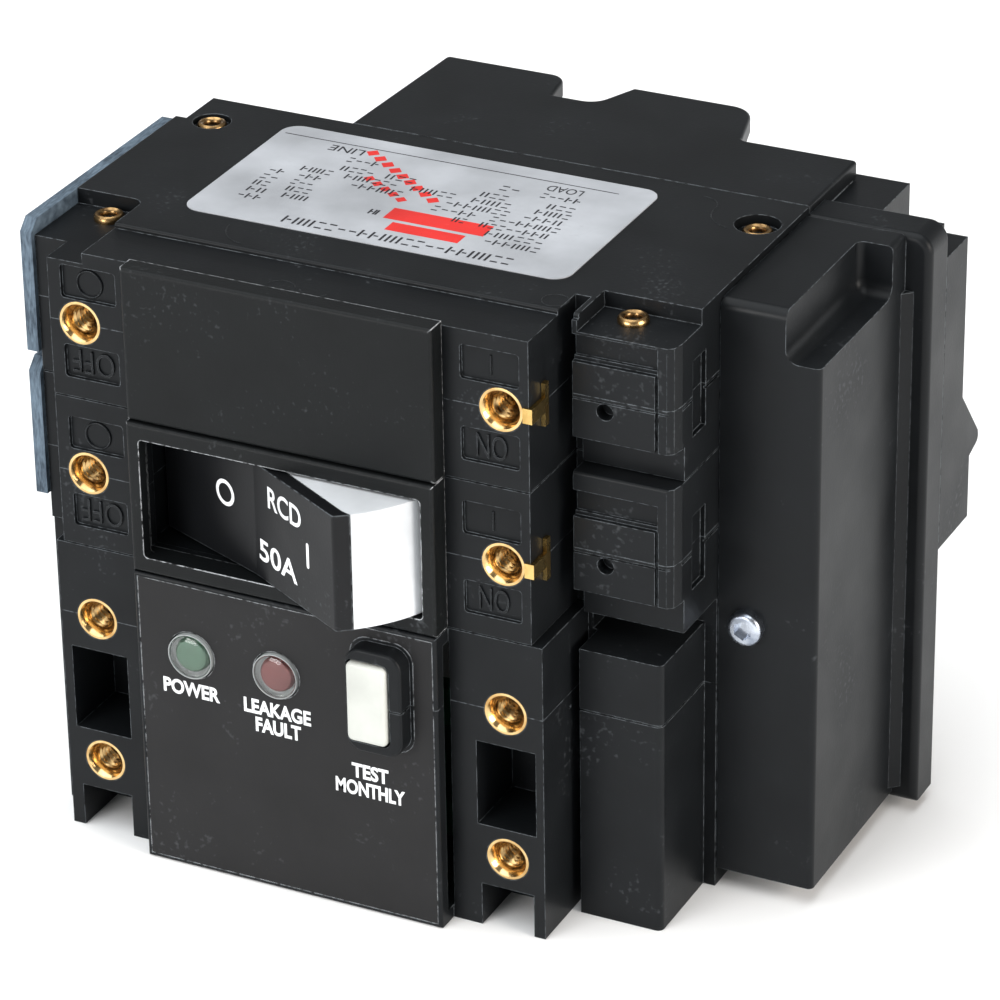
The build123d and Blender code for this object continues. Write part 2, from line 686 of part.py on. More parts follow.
# ---------------------------------------------------------------- side and rear housings
def side_housing():
    """Housing on the right that carries the conductors past the sensor, with its back rim."""
    body = block(right_side + seam, box_right, box_front, rim_front, box_bottom, box_top)
    body = soften(body, Axis.X, (40, 18, 36), (60, 19, 38), 1.3)
    body = soften(body, Axis.Z, (56, 18, -40), (57, 19, 40), 0.7)
    notch = block(51.9, 60, 10, 39.4, 31.0, 40)
    notch = soften(notch, Axis.Z, (51, 39, 0), (52.5, 40, 60), 1.0)
    notch = soften(notch, Axis.Y, (51, 0, 30.5), (52.5, 60, 31.5), 1.6)
    body -= notch
    rim = block(right_side + seam, rim_right, rim_front, rim_back, rim_bottom, box_top)
    rim = soften(rim, Axis.Y, (59, 40, 36), (60, 50, 38), 2.2)
    rim = fillet(rim.edges().group_by(Axis.Y)[0].filter_by_position(
        Axis.X, right_side + 1, 70), 0.9)
    body += rim
    cove = prism_z([(box_right - 0.1, 42.0), (box_right + 1.2, 43.3), (box_right - 0.1, 43.3)],
                   box_bottom + 1, box_top - 7)
    body += cove
    inner = block(right_side + 1.7, box_right - wall, box_front + wall, rim_back + 1,
                  box_bottom + wall, 29.0)
    inner += block(right_side + 1.7, 50.3, box_front + wall, rim_back + 1, 28, box_top - wall)
    body -= inner
    body -= rod_y(47.7, -2.75, 1.3, box_front - 1, box_front + 3)
    save("side_housing", body)


def bus_bars():
    """Copper bars that bring the load current from the poles round through the side housing."""
    bars = []
    for x, z in ((46.4, 24.0), (50.6, 4.0)):
        bar = block(x, x + 1.6, 24.0, 46.0, -28.0, z)
        bars.append(bar)
    save("bus_bars", group(bars))


def rear_cover():
    """Back cover: closes the side housing and shields the load terminals."""
    left = -14.6
    profile = [
        (rim_back + 0.05, 32.7),
        (cover_back, 32.7),
        (cover_back, 12.2),
        (60.1, 5.6),
        (60.5, 4.3),
        (57.5, 3.3),
        (57.5, -4.7),
        (rim_back + 0.05, -4.7),
    ]
    right_end = prism_x(profile, 51.0, rim_right)
    right_end = soften(right_end, Axis.X, (50, 60.3, 4), (60, 60.6, 4.6), 0.9)
    body = right_end
    body += block(right_side - 1, 50.2, rim_back + 0.05, 59.2, 6.0, 35.9)
    body += block(50.2, 51.0, rim_back + 0.05, 54.7, -4.7, 32.7)
    body += block(left, right_side, case_back + 0.05, 57.0, -36.0, 36.0)
    body += block(right_side - 1, 58.0, rim_back + 0.05, 50.2, -36.0, 36.0)
    body -= block(46.2, 57.4, rim_back - 1, 53.0, 0, 31.0)
    room = block(left + wall, 43.0, case_back, 55.4, -34.4, -1.2)
    body -= room
    for z in pole_z.values():
        body -= block(15.0, 38.0, case_back, 60, z - 7.6, z + 7.0)
    body -= [block(6.0, 12.0, 54, 60, z, z + 3) for z in (-30, -22, -14)]
    save("rear_cover", body)


def terminal_shroud():
    """Flat shroud over the load terminals, with a rounded wire notch in its back edge."""
    front = case_back + 0.1
    base = 58.3
    plan = [
        (-14.6, front),
        (right_side, front),
        (right_side, base),
        (29.4, base),
        (26.9, shroud_back),
        (11.4, shroud_back),
        (9.0, 61.5),
        (3.4, 61.5),
        (2.4, shroud_back),
        (-13.6, shroud_back),
    ]
    plate = prism_z(plan, top_z - 2.05, top_z - 0.05)
    for x, y, radius in ((26.9, shroud_back, 3.4), (2.4, shroud_back, 2.2),
                         (9.0, 61.5, 2.6), (-13.6, shroud_back, 0.6), (right_side, base, 0.5),
                         (29.4, base, 0.8)):
        plate = soften(plate, Axis.Z, (x - 0.3, y - 0.3, 30), (x + 0.3, y + 0.3, 40), radius)
    plate = fillet(plate.edges().group_by(Axis.Z)[-1].filter_by_position(
        Axis.Y, 45, 70), 0.4)
    for x in (12.6, 40.4):
        plate += block(x - 0.8, x + 0.8, 57.3, 60.5, 26.0, top_z - 1.5)
    save("terminal_shroud", plate)


# ---------------------------------------------------------------- fasteners and label
def inserts():
    """Threaded brass inserts, open at the mounting face."""
    bore = 1.45
    pieces = []
    for z in insert_z:
        for side in (-1, 1):
            x = side * insert_x
            body = rod_y(x, z, 2.2, 0, 9.5)
            cone = Pos(x, 0.45, z) * Rot(90, 0, 0) * Cone(2.1, 2.7, 0.9)
            mouth = Pos(x, 0.6, z) * Rot(90, 0, 0) * Cone(bore, 2.3, 1.2)
            pieces.append(body + cone - mouth - rod_y(x, z, bore, -1, 8.2))
    save("threaded_inserts", group(pieces))


def insert_straps():
    """Brass earth straps from two right-hand inserts over the edge of the column."""
    pieces = []
    for z in (pole_z["a"], pole_z["b"]):
        arm = block(insert_x + 2.75, column_edge + 0.55, -0.32, -0.02, z - 0.9, z + 0.9)
        leg = block(column_edge + 0.05, column_edge + 0.55, -0.32, 3.4, z - 0.9, z + 0.9)
        bar = block(column_edge + 0.05, column_edge + 0.55, 3.0, 3.9, z - 2.6, z + 2.6)
        pieces.append(arm + leg + bar)
    save("insert_straps", group(pieces))


def case_rivets():
    """Brass eyelet rivets that hold the stack of half shells together."""
    pieces = []
    spots = (
        (-29.9, 37.7, top_z - 0.9),
        (-29.1, 12.0, corner_floor),
        (40.6, 37.1, top_z - 1.4),
        (36.8, 11.9, corner_floor),
    )
    for x, y, seat in spots:
        head = rod_z(x, y, 1.8, seat, seat + 0.8)
        head = chamfer(head.edges().sort_by(Axis.Z)[-1], 0.35)
        pieces.append(head - rod_z(x, y, 0.9, seat - 1, seat + 2))
    save("case_rivets", group(pieces))


def housing_screw():
    """Zinc pan-head screw that fixes the side housing."""
    head = rod_y(47.7, -2.75, 2.1, 17.4, box_front)
    head = fillet(head.edges().sort_by(Axis.Y)[0], 0.6)
    hexagon = Plane(origin=(47.7, 18.3, -2.75), z_dir=(0, -1, 0))
    head -= extrude(hexagon * RegularPolygon(1.2, 6), amount=2)
    save("housing_screw", head + rod_y(47.7, -2.75, 1.25, box_front, box_front + 4.6))


def rating_label():
    """Paper rating label on the top face."""
    middle = (3.2, 27.4)
    sheet = Pos(*middle, top_z - seam) * extrude(RectangleRounded(48.4, 26.4, 2.2), amount=0.12)
    save("rating_label", sheet)


pole_a_cases()
pole_b_cases()
cover_plate()
rocker_bezel()
arc_barriers()
rocker_pieces()
drive_link()
contact_pieces()
fixed_contacts()
terminals()
arc_chutes()
trip_magnets()
module_cases()
lamps()
test_switch()
electronics()
side_housing()
bus_bars()
rear_cover()
terminal_shroud()
inserts()
insert_straps()
case_rivets()
housing_screw()
rating_label()
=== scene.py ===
import math

import bmesh
import bpy
import numpy as np
from mathutils import Matrix, Vector


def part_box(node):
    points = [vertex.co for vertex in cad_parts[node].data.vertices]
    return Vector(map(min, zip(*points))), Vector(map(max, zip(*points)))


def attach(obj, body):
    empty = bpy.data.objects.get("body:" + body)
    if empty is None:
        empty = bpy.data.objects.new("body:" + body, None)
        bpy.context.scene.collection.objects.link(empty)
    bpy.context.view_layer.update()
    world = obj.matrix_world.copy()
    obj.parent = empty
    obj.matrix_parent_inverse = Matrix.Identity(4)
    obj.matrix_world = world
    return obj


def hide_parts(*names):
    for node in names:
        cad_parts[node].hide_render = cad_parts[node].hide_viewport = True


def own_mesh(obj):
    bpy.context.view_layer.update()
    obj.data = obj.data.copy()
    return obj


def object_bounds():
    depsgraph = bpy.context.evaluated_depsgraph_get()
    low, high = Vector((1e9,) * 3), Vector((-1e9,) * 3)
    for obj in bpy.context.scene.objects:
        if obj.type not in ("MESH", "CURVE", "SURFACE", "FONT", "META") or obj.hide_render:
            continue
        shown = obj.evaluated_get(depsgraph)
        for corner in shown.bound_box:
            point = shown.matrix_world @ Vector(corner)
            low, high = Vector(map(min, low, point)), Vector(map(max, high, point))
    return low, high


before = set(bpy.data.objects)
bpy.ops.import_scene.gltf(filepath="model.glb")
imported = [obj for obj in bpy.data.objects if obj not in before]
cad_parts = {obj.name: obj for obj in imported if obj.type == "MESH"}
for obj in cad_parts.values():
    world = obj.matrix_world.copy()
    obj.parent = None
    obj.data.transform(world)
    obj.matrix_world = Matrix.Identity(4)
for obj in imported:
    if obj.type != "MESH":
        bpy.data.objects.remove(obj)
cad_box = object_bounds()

mm = 0.001


# ------------------------------------------------------------------ studio
# A wide round of pale paper whose rim turns up far from the device, a broad cool light
# overhead, a warm panel on the right and a weaker one in front.
def add_surface(name, grids, outward=True, sharp=35):
    """One mesh from grids of points: a quad for each cell, and points that meet are merged.

    Merging closes the seams and poles of turned shapes. Edges over sharp degrees stay crisp.
    """
    points = []
    quads = []
    start = 0
    for grid in grids:
        rows, columns = grid.shape[:2]
        index = start + np.arange(rows * columns).reshape(rows, columns)
        corners = [index[:-1, :-1], index[1:, :-1], index[1:, 1:], index[:-1, 1:]]
        quads.append(np.stack([corner.ravel() for corner in corners], axis=1))
        points.append(grid.reshape(-1, 3))
        start += rows * columns
    mesh = bpy.data.meshes.new(name)
    mesh.from_pydata(np.concatenate(points).tolist(), [], np.concatenate(quads).tolist())
    work = bmesh.new()
    work.from_mesh(mesh)
    bmesh.ops.remove_doubles(work, verts=work.verts, dist=2e-7)
    if outward:
        bmesh.ops.recalc_face_normals(work, faces=work.faces)
    work.to_mesh(mesh)
    work.free()
    mesh.polygons.foreach_set("use_smooth", np.ones(len(mesh.polygons), bool))
    mesh.set_sharp_from_angle(angle=math.radians(sharp))
    piece = bpy.data.objects.new(name, mesh)
    bpy.context.scene.collection.objects.link(piece)
    return piece


def shade(red, green, blue):
    """Display colour from 0 to 255 as the linear values that shaders take."""
    shown = np.array([red, green, blue]) / 255
    linear = np.where(shown <= 0.04045, shown / 12.92, ((shown + 0.055) / 1.055) ** 2.4)
    return (*linear.tolist(), 1.0)


def shader_step(tree, kind, inputs, **settings):
    """A shader node whose inputs are plain values, or sockets to link."""
    step = tree.nodes.new(kind)
    for key, value in settings.items():
        setattr(step, key, value)
    for key, value in inputs.items():
        if isinstance(value, bpy.types.NodeSocket):
            tree.links.new(value, step.inputs[key])
        else:
            step.inputs[key].default_value = value
    return step


def new_material(name):
    """Empty node material: its node tree and its Principled shader."""
    material = bpy.data.materials.new(name)
    material.use_nodes = True
    return material, material.node_tree, material.node_tree.nodes["Principled BSDF"]


def paper_dish(reach, rim, height, level):
    """Round floor whose edge turns up: a level disc, then a rim that rises as a square law.

    The first parameter is the distance from the middle, the second the angle round it.
    """
    distance = np.concatenate([[0.0], np.linspace(reach, rim, 13)])[:, None]
    angle = np.linspace(0, 2 * math.pi, 97)[None, :]
    rise = height * np.clip((distance - reach) / (rim - reach), 0, 1) ** 2
    return np.stack([distance * np.cos(angle), distance * np.sin(angle),
                     level + rise + 0 * angle], axis=-1)


floor_level = cad_box[0].z - 0.05 * mm
paper = add_surface("paper", [paper_dish(2.4, 3.2, 0.7, floor_level)], outward=False)
paper_white, tree, shader = new_material("paper_white")
shader.inputs["Base Color"].default_value = shade(250, 250, 250)
shader.inputs["Roughness"].default_value = 0.9
tooth = shader_step(tree, "ShaderNodeTexNoise", {"Scale": 300.0})
bump = shader_step(tree, "ShaderNodeBump", {"Strength": 0.03, "Height": tooth.outputs[0]})
tree.links.new(bump.outputs["Normal"], shader.inputs["Normal"])
paper.data.materials.append(paper_white)


def soft_light(name, place, aim, width, height, watts, colour):
    """Rectangular area light that points at a spot."""
    lamp = bpy.data.lights.new(name, "AREA")
    lamp.shape = "RECTANGLE"
    lamp.size = width
    lamp.size_y = height
    lamp.energy = watts
    lamp.color = colour
    holder = bpy.data.objects.new(name, lamp)
    bpy.context.scene.collection.objects.link(holder)
    holder.location = place
    holder.rotation_euler = (Vector(aim) - Vector(place)).to_track_quat("-Z", "Y").to_euler()


middle = (cad_box[0] + cad_box[1]) / 2
overhead = bpy.data.lights.new("overhead", "SUN")
overhead.energy = 3.1
overhead.angle = math.radians(75)
overhead.color = (0.95, 0.98, 1.0)
overhead_holder = bpy.data.objects.new("overhead", overhead)
bpy.context.scene.collection.objects.link(overhead_holder)
overhead_holder.rotation_euler = (math.radians(8), math.radians(-14), 0)
soft_light("right_panel", (0.9, -0.1, 0.3), middle, 0.5, 0.5, 7.0, (1.0, 0.93, 0.86))
soft_light("front_left", (-0.35, -0.95, 0.3), middle, 0.6, 0.4, 7.0, (1.0, 0.99, 0.98))

world = bpy.data.worlds.new("studio")
world.use_nodes = True
world.node_tree.nodes["Background"].inputs["Color"].default_value = (1.0, 1.0, 1.0, 1)
world.node_tree.nodes["Background"].inputs["Strength"].default_value = 0.2
bpy.context.scene.world = world
bpy.context.scene.view_settings.view_transform = "Standard"

# Long lens, a little to the right of the mounting face and above it.
view_azimuth = math.radians(26.5)
view_elevation = math.radians(27.5)
view_roll = math.radians(-0.9)
view_distance = 565 * mm
view_target = Vector((14.5, 23.4, 3.9)) * mm
back = Vector((
    math.sin(view_azimuth) * math.cos(view_elevation),
    -math.cos(view_azimuth) * math.cos(view_elevation),
    math.sin(view_elevation),
))
lens = bpy.data.cameras.new("camera")
lens.lens = 176
lens.clip_start = 0.05
lens.clip_end = 10
camera = bpy.data.objects.new("camera", lens)
bpy.context.scene.collection.objects.link(camera)
turn = (-back).to_track_quat("-Z", "Y").to_matrix() @ Matrix.Rotation(view_roll, 3, "Z")
camera.matrix_world = Matrix.Translation(view_target + back * view_distance) @ turn.to_4x4()
bpy.context.scene.camera = camera


# ------------------------------------------------------------------ trip magnets
# Each pole has a bent steel frame, a brass-capped hydraulic delay tube, a hinged steel
# armature and a coil of enamelled copper wire. The steel is stamped and lightly oxidised.
def new_group(name, inputs, outputs):
    """Shader node group with named sockets; returns the group, its start and its end."""
    group = bpy.data.node_groups.new(name, "ShaderNodeTree")
    for label, kind in inputs:
        group.interface.new_socket(label, in_out="INPUT", socket_type="NodeSocket" + kind)
    for label, kind in outputs:
        group.interface.new_socket(label, in_out="OUTPUT", socket_type="NodeSocket" + kind)
    return group, group.nodes.new("NodeGroupInput"), group.nodes.new("NodeGroupOutput")


def make_metal_skin():
    """Metal surface: broad stains, fine brushed streaks, and roughness that follows the stains."""
    group, given, result = new_group(
        "metal_skin",
        [("Color", "Color"), ("Tarnish", "Color"), ("Scale", "Float"), ("Roughness", "Float")],
        [("Color", "Color"), ("Roughness", "Float"), ("Height", "Float")],
    )
    place = group.nodes.new("ShaderNodeTexCoord").outputs["Object"]
    stains = shader_step(group, "ShaderNodeTexNoise",
                         {"Vector": place, "Scale": given.outputs["Scale"], "Detail": 4.0})
    stretched = shader_step(group, "ShaderNodeMapping", {"Vector": place, "Scale": (1, 1, 14)})
    streaks = shader_step(group, "ShaderNodeTexNoise",
                          {"Vector": stretched.outputs[0], "Scale": 420.0, "Detail": 3.0})
    amount = shader_step(group, "ShaderNodeMapRange",
                         {"Value": stains.outputs[0], "From Min": 0.42, "From Max": 0.72})
    colour = shader_step(group, "ShaderNodeMix",
                         {0: amount.outputs[0], 6: given.outputs["Color"],
                          7: given.outputs["Tarnish"]}, data_type="RGBA")
    spread = shader_step(group, "ShaderNodeMapRange",
                         {"Value": stains.outputs[0], "To Min": -0.09, "To Max": 0.14})
    rough = shader_step(group, "ShaderNodeMath",
                        {0: given.outputs["Roughness"], 1: spread.outputs[0]}, operation="ADD")
    group.links.new(colour.outputs[2], result.inputs["Color"])
    group.links.new(rough.outputs[0], result.inputs["Roughness"])
    group.links.new(streaks.outputs[0], result.inputs["Height"])
    return group


metal_skin = make_metal_skin()


def metal(name, colour, tarnish, roughness, scale=260.0, bump_strength=0.12):
    """Metal material from the shared skin, with its own colours and polish."""
    material, tree, shader = new_material(name)
    skin = shader_step(tree, "ShaderNodeGroup", {}, node_tree=metal_skin)
    skin.inputs["Color"].default_value = colour
    skin.inputs["Tarnish"].default_value = tarnish
    skin.inputs["Scale"].default_value = scale
    skin.inputs["Roughness"].default_value = roughness
    bump = shader_step(tree, "ShaderNodeBump",
                       {"Strength": bump_strength, "Distance": 0.05 * mm,
                        "Height": skin.outputs["Height"]})
    tree.links.new(skin.outputs["Color"], shader.inputs["Base Color"])
    tree.links.new(skin.outputs["Roughness"], shader.inputs["Roughness"])
    tree.links.new(bump.outputs["Normal"], shader.inputs["Normal"])
    shader.inputs["Metallic"].default_value = 1.0
    return material


def finish(material, *names):
    """Gives CAD nodes their material."""
    for name in names:
        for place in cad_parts[name].material_slots:
            place.material = material


bare_steel = metal("bare_steel", shade(150, 152, 155), shade(98, 96, 94), 0.38)
finish(bare_steel, "magnet_frame_a", "magnet_frame_b", "armature_a", "armature_b")
tube_brass = metal("tube_brass", shade(196, 160, 96), shade(140, 106, 58), 0.3)
finish(tube_brass, "delay_tube_a", "delay_tube_b")

pole_height = {"a": 28.575 * mm, "b": 9.525 * mm}


def wound(radius, wire, start, end, turns, centre, axis, around=8, steps=28):
    """Wire wound into a helix: a circle of radius wire carried along a helix.

    The first parameter runs along the helix and the second round the wire. The wire
    shrinks to a point at both ends, which closes it.
    """
    along = np.linspace(0, 1, int(turns * steps) + 1)
    along = np.concatenate([[0.0], along, [1.0]])
    thickness = np.full(along.shape, wire)
    thickness[0] = thickness[-1] = 0.0
    turn = along * turns * 2 * math.pi
    ring = np.linspace(0, 2 * math.pi, around + 1)
    reach = radius + thickness[:, None] * np.cos(ring)
    across = reach * np.cos(turn)[:, None]
    up = reach * np.sin(turn)[:, None]
    depth = (start + (end - start) * along)[:, None] + thickness[:, None] * np.sin(ring)
    return placed(across, up, depth, centre, axis)


def placed(across, up, depth, centre, axis):
    """Lays local points out so that their depth runs along X, Y or Z, about a centre."""
    points = np.stack([across, up, depth], axis=-1)
    return np.roll(points, {"x": 1, "y": 2, "z": 0}[axis], axis=-1) + np.array(centre)


enamelled_copper = metal("enamelled_copper", shade(176, 92, 48), shade(116, 52, 28), 0.32, 500.0)
coil_radius = 4.1 * mm
coil_wire = 1.12 * mm
coil_start = -28.9 * mm
coil_end = -13.3 * mm
coil_depth = 33 * mm
for pole, height in pole_height.items():
    coil = add_surface("coil_winding_" + pole, [
        wound(coil_radius, coil_wire, coil_start, coil_end, 7, (0, coil_depth, height), "x")])
    coil.data.materials.append(enamelled_copper)
    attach(coil, "housing")
    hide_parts("coil_" + pole)

# ------------------------------------------------------------------ contacts and conductors
# Stamped copper bars and arms with riveted silver buttons; the load bars leave through the
# sensor window. The arcs are split by stacks of notched, blued steel plates.
bare_copper = metal("bare_copper", shade(206, 122, 78), shade(140, 70, 44), 0.3)
finish(bare_copper, "bus_bars", "sensed_conductors", "line_terminal_a", "line_terminal_b",
       "load_terminal_a", "load_terminal_b", "contact_arm_a", "contact_arm_b")
contact_silver = metal("contact_silver", shade(214, 212, 206), shade(150, 146, 140), 0.26, 700.0)
finish(contact_silver, "fixed_contacts", "moving_contacts")
blued_steel = metal("blued_steel", shade(92, 98, 112), shade(62, 56, 58), 0.42, 340.0)
finish(blued_steel, "arc_chute_a", "arc_chute_b", "crank_cheeks")

# ------------------------------------------------------------------ mouldings
# Black glass-filled thermoset shells, grey inner insulation, all compression moulded:
# a fine spark-eroded grain, small pale specks of dust, and pale broken edge lines that are
# partly scuffs and partly a painted highlight where the edges catch the light.
def make_moulded_skin():
    """Moulded surface: slow mottling, fine grain, sparse specks of dust."""
    group, given, result = new_group(
        "moulded_skin",
        [("Color", "Color"), ("Dust", "Color"), ("Grain", "Float"), ("Specks", "Float"),
         ("Roughness", "Float")],
        [("Color", "Color"), ("Roughness", "Float"), ("Height", "Float")],
    )
    place = group.nodes.new("ShaderNodeTexCoord").outputs["Object"]
    mottle = shader_step(group, "ShaderNodeTexNoise",
                         {"Vector": place, "Scale": 95.0, "Detail": 5.0})
    grain = shader_step(group, "ShaderNodeTexNoise",
                        {"Vector": place, "Scale": given.outputs["Grain"], "Detail": 2.0})
    dust = shader_step(group, "ShaderNodeTexNoise",
                       {"Vector": place, "Scale": 1500.0, "Detail": 1.0})
    patches = shader_step(group, "ShaderNodeMath",
                          {0: dust.outputs[0], 1: mottle.outputs[0]}, operation="MULTIPLY")
    specks = shader_step(group, "ShaderNodeMapRange",
                         {"Value": patches.outputs[0], "From Min": 0.38, "From Max": 0.52,
                          "To Max": given.outputs["Specks"]})
    lightness = shader_step(group, "ShaderNodeMapRange",
                            {"Value": mottle.outputs[0], "From Min": 0.3, "From Max": 0.7,
                             "To Min": 0.82, "To Max": 1.22})
    toned = shader_step(group, "ShaderNodeVectorMath",
                        {0: given.outputs["Color"], "Scale": lightness.outputs[0]},
                        operation="SCALE")
    colour = shader_step(group, "ShaderNodeMix",
                         {0: specks.outputs[0], 6: toned.outputs[0],
                          7: given.outputs["Dust"]}, data_type="RGBA")
    spread = shader_step(group, "ShaderNodeMapRange",
                         {"Value": mottle.outputs[0], "From Min": 0.3, "From Max": 0.7,
                          "To Min": -0.07, "To Max": 0.07})
    rough = shader_step(group, "ShaderNodeMath",
                        {0: given.outputs["Roughness"], 1: spread.outputs[0]}, operation="ADD")
    group.links.new(colour.outputs[2], result.inputs["Color"])
    group.links.new(rough.outputs[0], result.inputs["Roughness"])
    group.links.new(grain.outputs[0], result.inputs["Height"])
    return group


def make_soft_edge():
    """Rounded normal near an edge, and a mask of where it turns away from the flat face."""
    group, given, result = new_group(
        "soft_edge",
        [("Radius", "Float"), ("Wear and Highlight", "Float")],
        [("Normal", "Vector"), ("Edge", "Float")],
    )
    rounded = shader_step(group, "ShaderNodeBevel", {"Radius": given.outputs["Radius"]}, samples=6)
    flat = group.nodes.new("ShaderNodeNewGeometry").outputs["Normal"]
    agreement = shader_step(group, "ShaderNodeVectorMath",
                            {0: rounded.outputs[0], 1: flat}, operation="DOT_PRODUCT")
    turned_away = shader_step(group, "ShaderNodeMapRange",
                              {"Value": agreement.outputs["Value"], "From Min": 0.995,
                               "From Max": 0.80})
    # Noise breaks the mask up; it carries scuffs and a painted highlight onto the edges.
    place = group.nodes.new("ShaderNodeTexCoord").outputs["Object"]
    edge_breaks = shader_step(group, "ShaderNodeTexNoise",
                        {"Vector": place, "Scale": 1300.0, "Detail": 2.0})
    broken = shader_step(group, "ShaderNodeMapRange",
                         {"Value": edge_breaks.outputs[0], "From Min": 0.36, "From Max": 0.56,
                          "To Max": given.outputs["Wear and Highlight"]})
    mask = shader_step(group, "ShaderNodeMath",
                       {0: turned_away.outputs[0], 1: broken.outputs[0]}, operation="MULTIPLY")
    group.links.new(rounded.outputs[0], result.inputs["Normal"])
    group.links.new(mask.outputs[0], result.inputs["Edge"])
    return group


moulded_skin = make_moulded_skin()
soft_edge = make_soft_edge()


def moulding(name, colour, dust, roughness, grain=2600.0, bump_strength=0.22, specks=0.1,
             radius=0.16 * mm, wear_and_highlight=0.55, wear_and_highlight_colour=(150, 158, 164), gloss=0.2):
    """Moulded plastic from the shared skin and soft edge: its grain, scuffs and painted edge
    highlight.
    """
    material, tree, shader = new_material(name)
    skin = shader_step(tree, "ShaderNodeGroup", {}, node_tree=moulded_skin)
    skin.inputs["Color"].default_value = colour
    skin.inputs["Dust"].default_value = dust
    skin.inputs["Grain"].default_value = grain
    skin.inputs["Specks"].default_value = specks
    skin.inputs["Roughness"].default_value = roughness
    edge = shader_step(tree, "ShaderNodeGroup", {}, node_tree=soft_edge)
    edge.inputs["Radius"].default_value = radius
    edge.inputs["Wear and Highlight"].default_value = wear_and_highlight
    # Pale colour along the edges: partly scuffs, partly a painted highlight of edges catching
    # light.
    edge_wear_and_highlight = shader_step(tree, "ShaderNodeMix",
                              {0: edge.outputs["Edge"], 6: skin.outputs["Color"],
                               7: shade(*wear_and_highlight_colour)}, data_type="RGBA")
    bump = shader_step(tree, "ShaderNodeBump",
                       {"Strength": bump_strength, "Distance": 0.04 * mm,
                        "Height": skin.outputs["Height"], "Normal": edge.outputs["Normal"]})
    tree.links.new(edge_wear_and_highlight.outputs[2], shader.inputs["Base Color"])
    tree.links.new(skin.outputs["Roughness"], shader.inputs["Roughness"])
    tree.links.new(bump.outputs["Normal"], shader.inputs["Normal"])
    shader.inputs["Specular IOR Level"].default_value = gloss
    return material


pale_dust = shade(150, 155, 160)
case_black = moulding("case_black", shade(21, 23, 25), pale_dust, 0.38, gloss=0.14)
finish(case_black, "pole_a_upper_case", "pole_a_lower_case", "pole_b_upper_case",
       "pole_b_lower_case", "module_upper_case", "module_lower_case", "side_housing",
       "rear_cover", "terminal_shroud")
inner_grey = moulding("inner_grey", shade(120, 122, 120), shade(170, 170, 165), 0.5,
                      wear_and_highlight=0.3, wear_and_highlight_colour=(170, 170, 168))
finish(inner_grey, "contact_shaft", "trip_plunger", "test_contact_block")

# ------------------------------------------------------------------ electronics
# Green-masked glass-epoxy board with its capacitors and blocks, a tape-wound ring core
# that senses the two conductors, and a small trip solenoid.
board_green, tree, shader = new_material("board_green")
place = tree.nodes.new("ShaderNodeTexCoord").outputs["Object"]
tracks = shader_step(tree, "ShaderNodeTexVoronoi", {"Vector": place, "Scale": 330.0},
                     feature="F1", distance="CHEBYCHEV")
copper = shader_step(tree, "ShaderNodeMapRange",
                     {"Value": tracks.outputs["Distance"], "From Min": 0.42, "From Max": 0.46})
weave = shader_step(tree, "ShaderNodeTexNoise", {"Vector": place, "Scale": 1900.0})
mask_colour = shader_step(tree, "ShaderNodeMix",
                          {0: copper.outputs[0], 6: shade(12, 48, 32), 7: shade(26, 78, 52)},
                          data_type="RGBA")
tree.links.new(mask_colour.outputs[2], shader.inputs["Base Color"])
board_gloss = shader_step(tree, "ShaderNodeMapRange",
                          {"Value": weave.outputs[0], "To Min": 0.22, "To Max": 0.42})
tree.links.new(board_gloss.outputs[0], shader.inputs["Roughness"])
bump = shader_step(tree, "ShaderNodeBump",
                   {"Strength": 0.3, "Distance": 0.04 * mm, "Height": copper.outputs[0]})
tree.links.new(bump.outputs["Normal"], shader.inputs["Normal"])
finish(board_green, "circuit_board")
sleeve_black = moulding("sleeve_black", shade(30, 30, 34), pale_dust, 0.3, grain=900.0,
                        bump_strength=0.08, wear_and_highlight=0.15, gloss=0.5)
finish(sleeve_black, "board_components", "trip_solenoid")


def taped_ring(centre, reach, half_width, half_depth, laps):
    """Ring core wrapped in tape: a rounded-square section carried round a circle.

    The section's size rises and falls with the angle round the ring, once for each lap.
    """
    around = np.linspace(0, 2 * math.pi, laps * 6 + 1)[:, None]
    section = np.linspace(0, 2 * math.pi, 33)[None, :]
    swell = 1 - 0.035 * np.abs(np.cos(around * laps / 2))
    side = np.sign(np.cos(section)) * np.abs(np.cos(section)) ** 0.45
    rise = np.sign(np.sin(section)) * np.abs(np.sin(section)) ** 0.45
    radius = reach + half_width * side * swell
    return placed(radius * np.cos(around), radius * np.sin(around),
                  half_depth * rise * swell, centre, "y")


ring_tape = moulding("ring_tape", shade(150, 120, 58), shade(190, 170, 120), 0.45, grain=700.0,
                     wear_and_highlight=0.2, wear_and_highlight_colour=(200, 180, 130))
ring_centre = (18 * mm, 28.5 * mm, -20.5 * mm)
core = add_surface("sensor_ring", [
    taped_ring(ring_centre, reach=9.75 * mm, half_width=3.25 * mm, half_depth=4.5 * mm, laps=54)])
core.data.materials.append(ring_tape)
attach(core, "housing")
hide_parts("current_sensor")

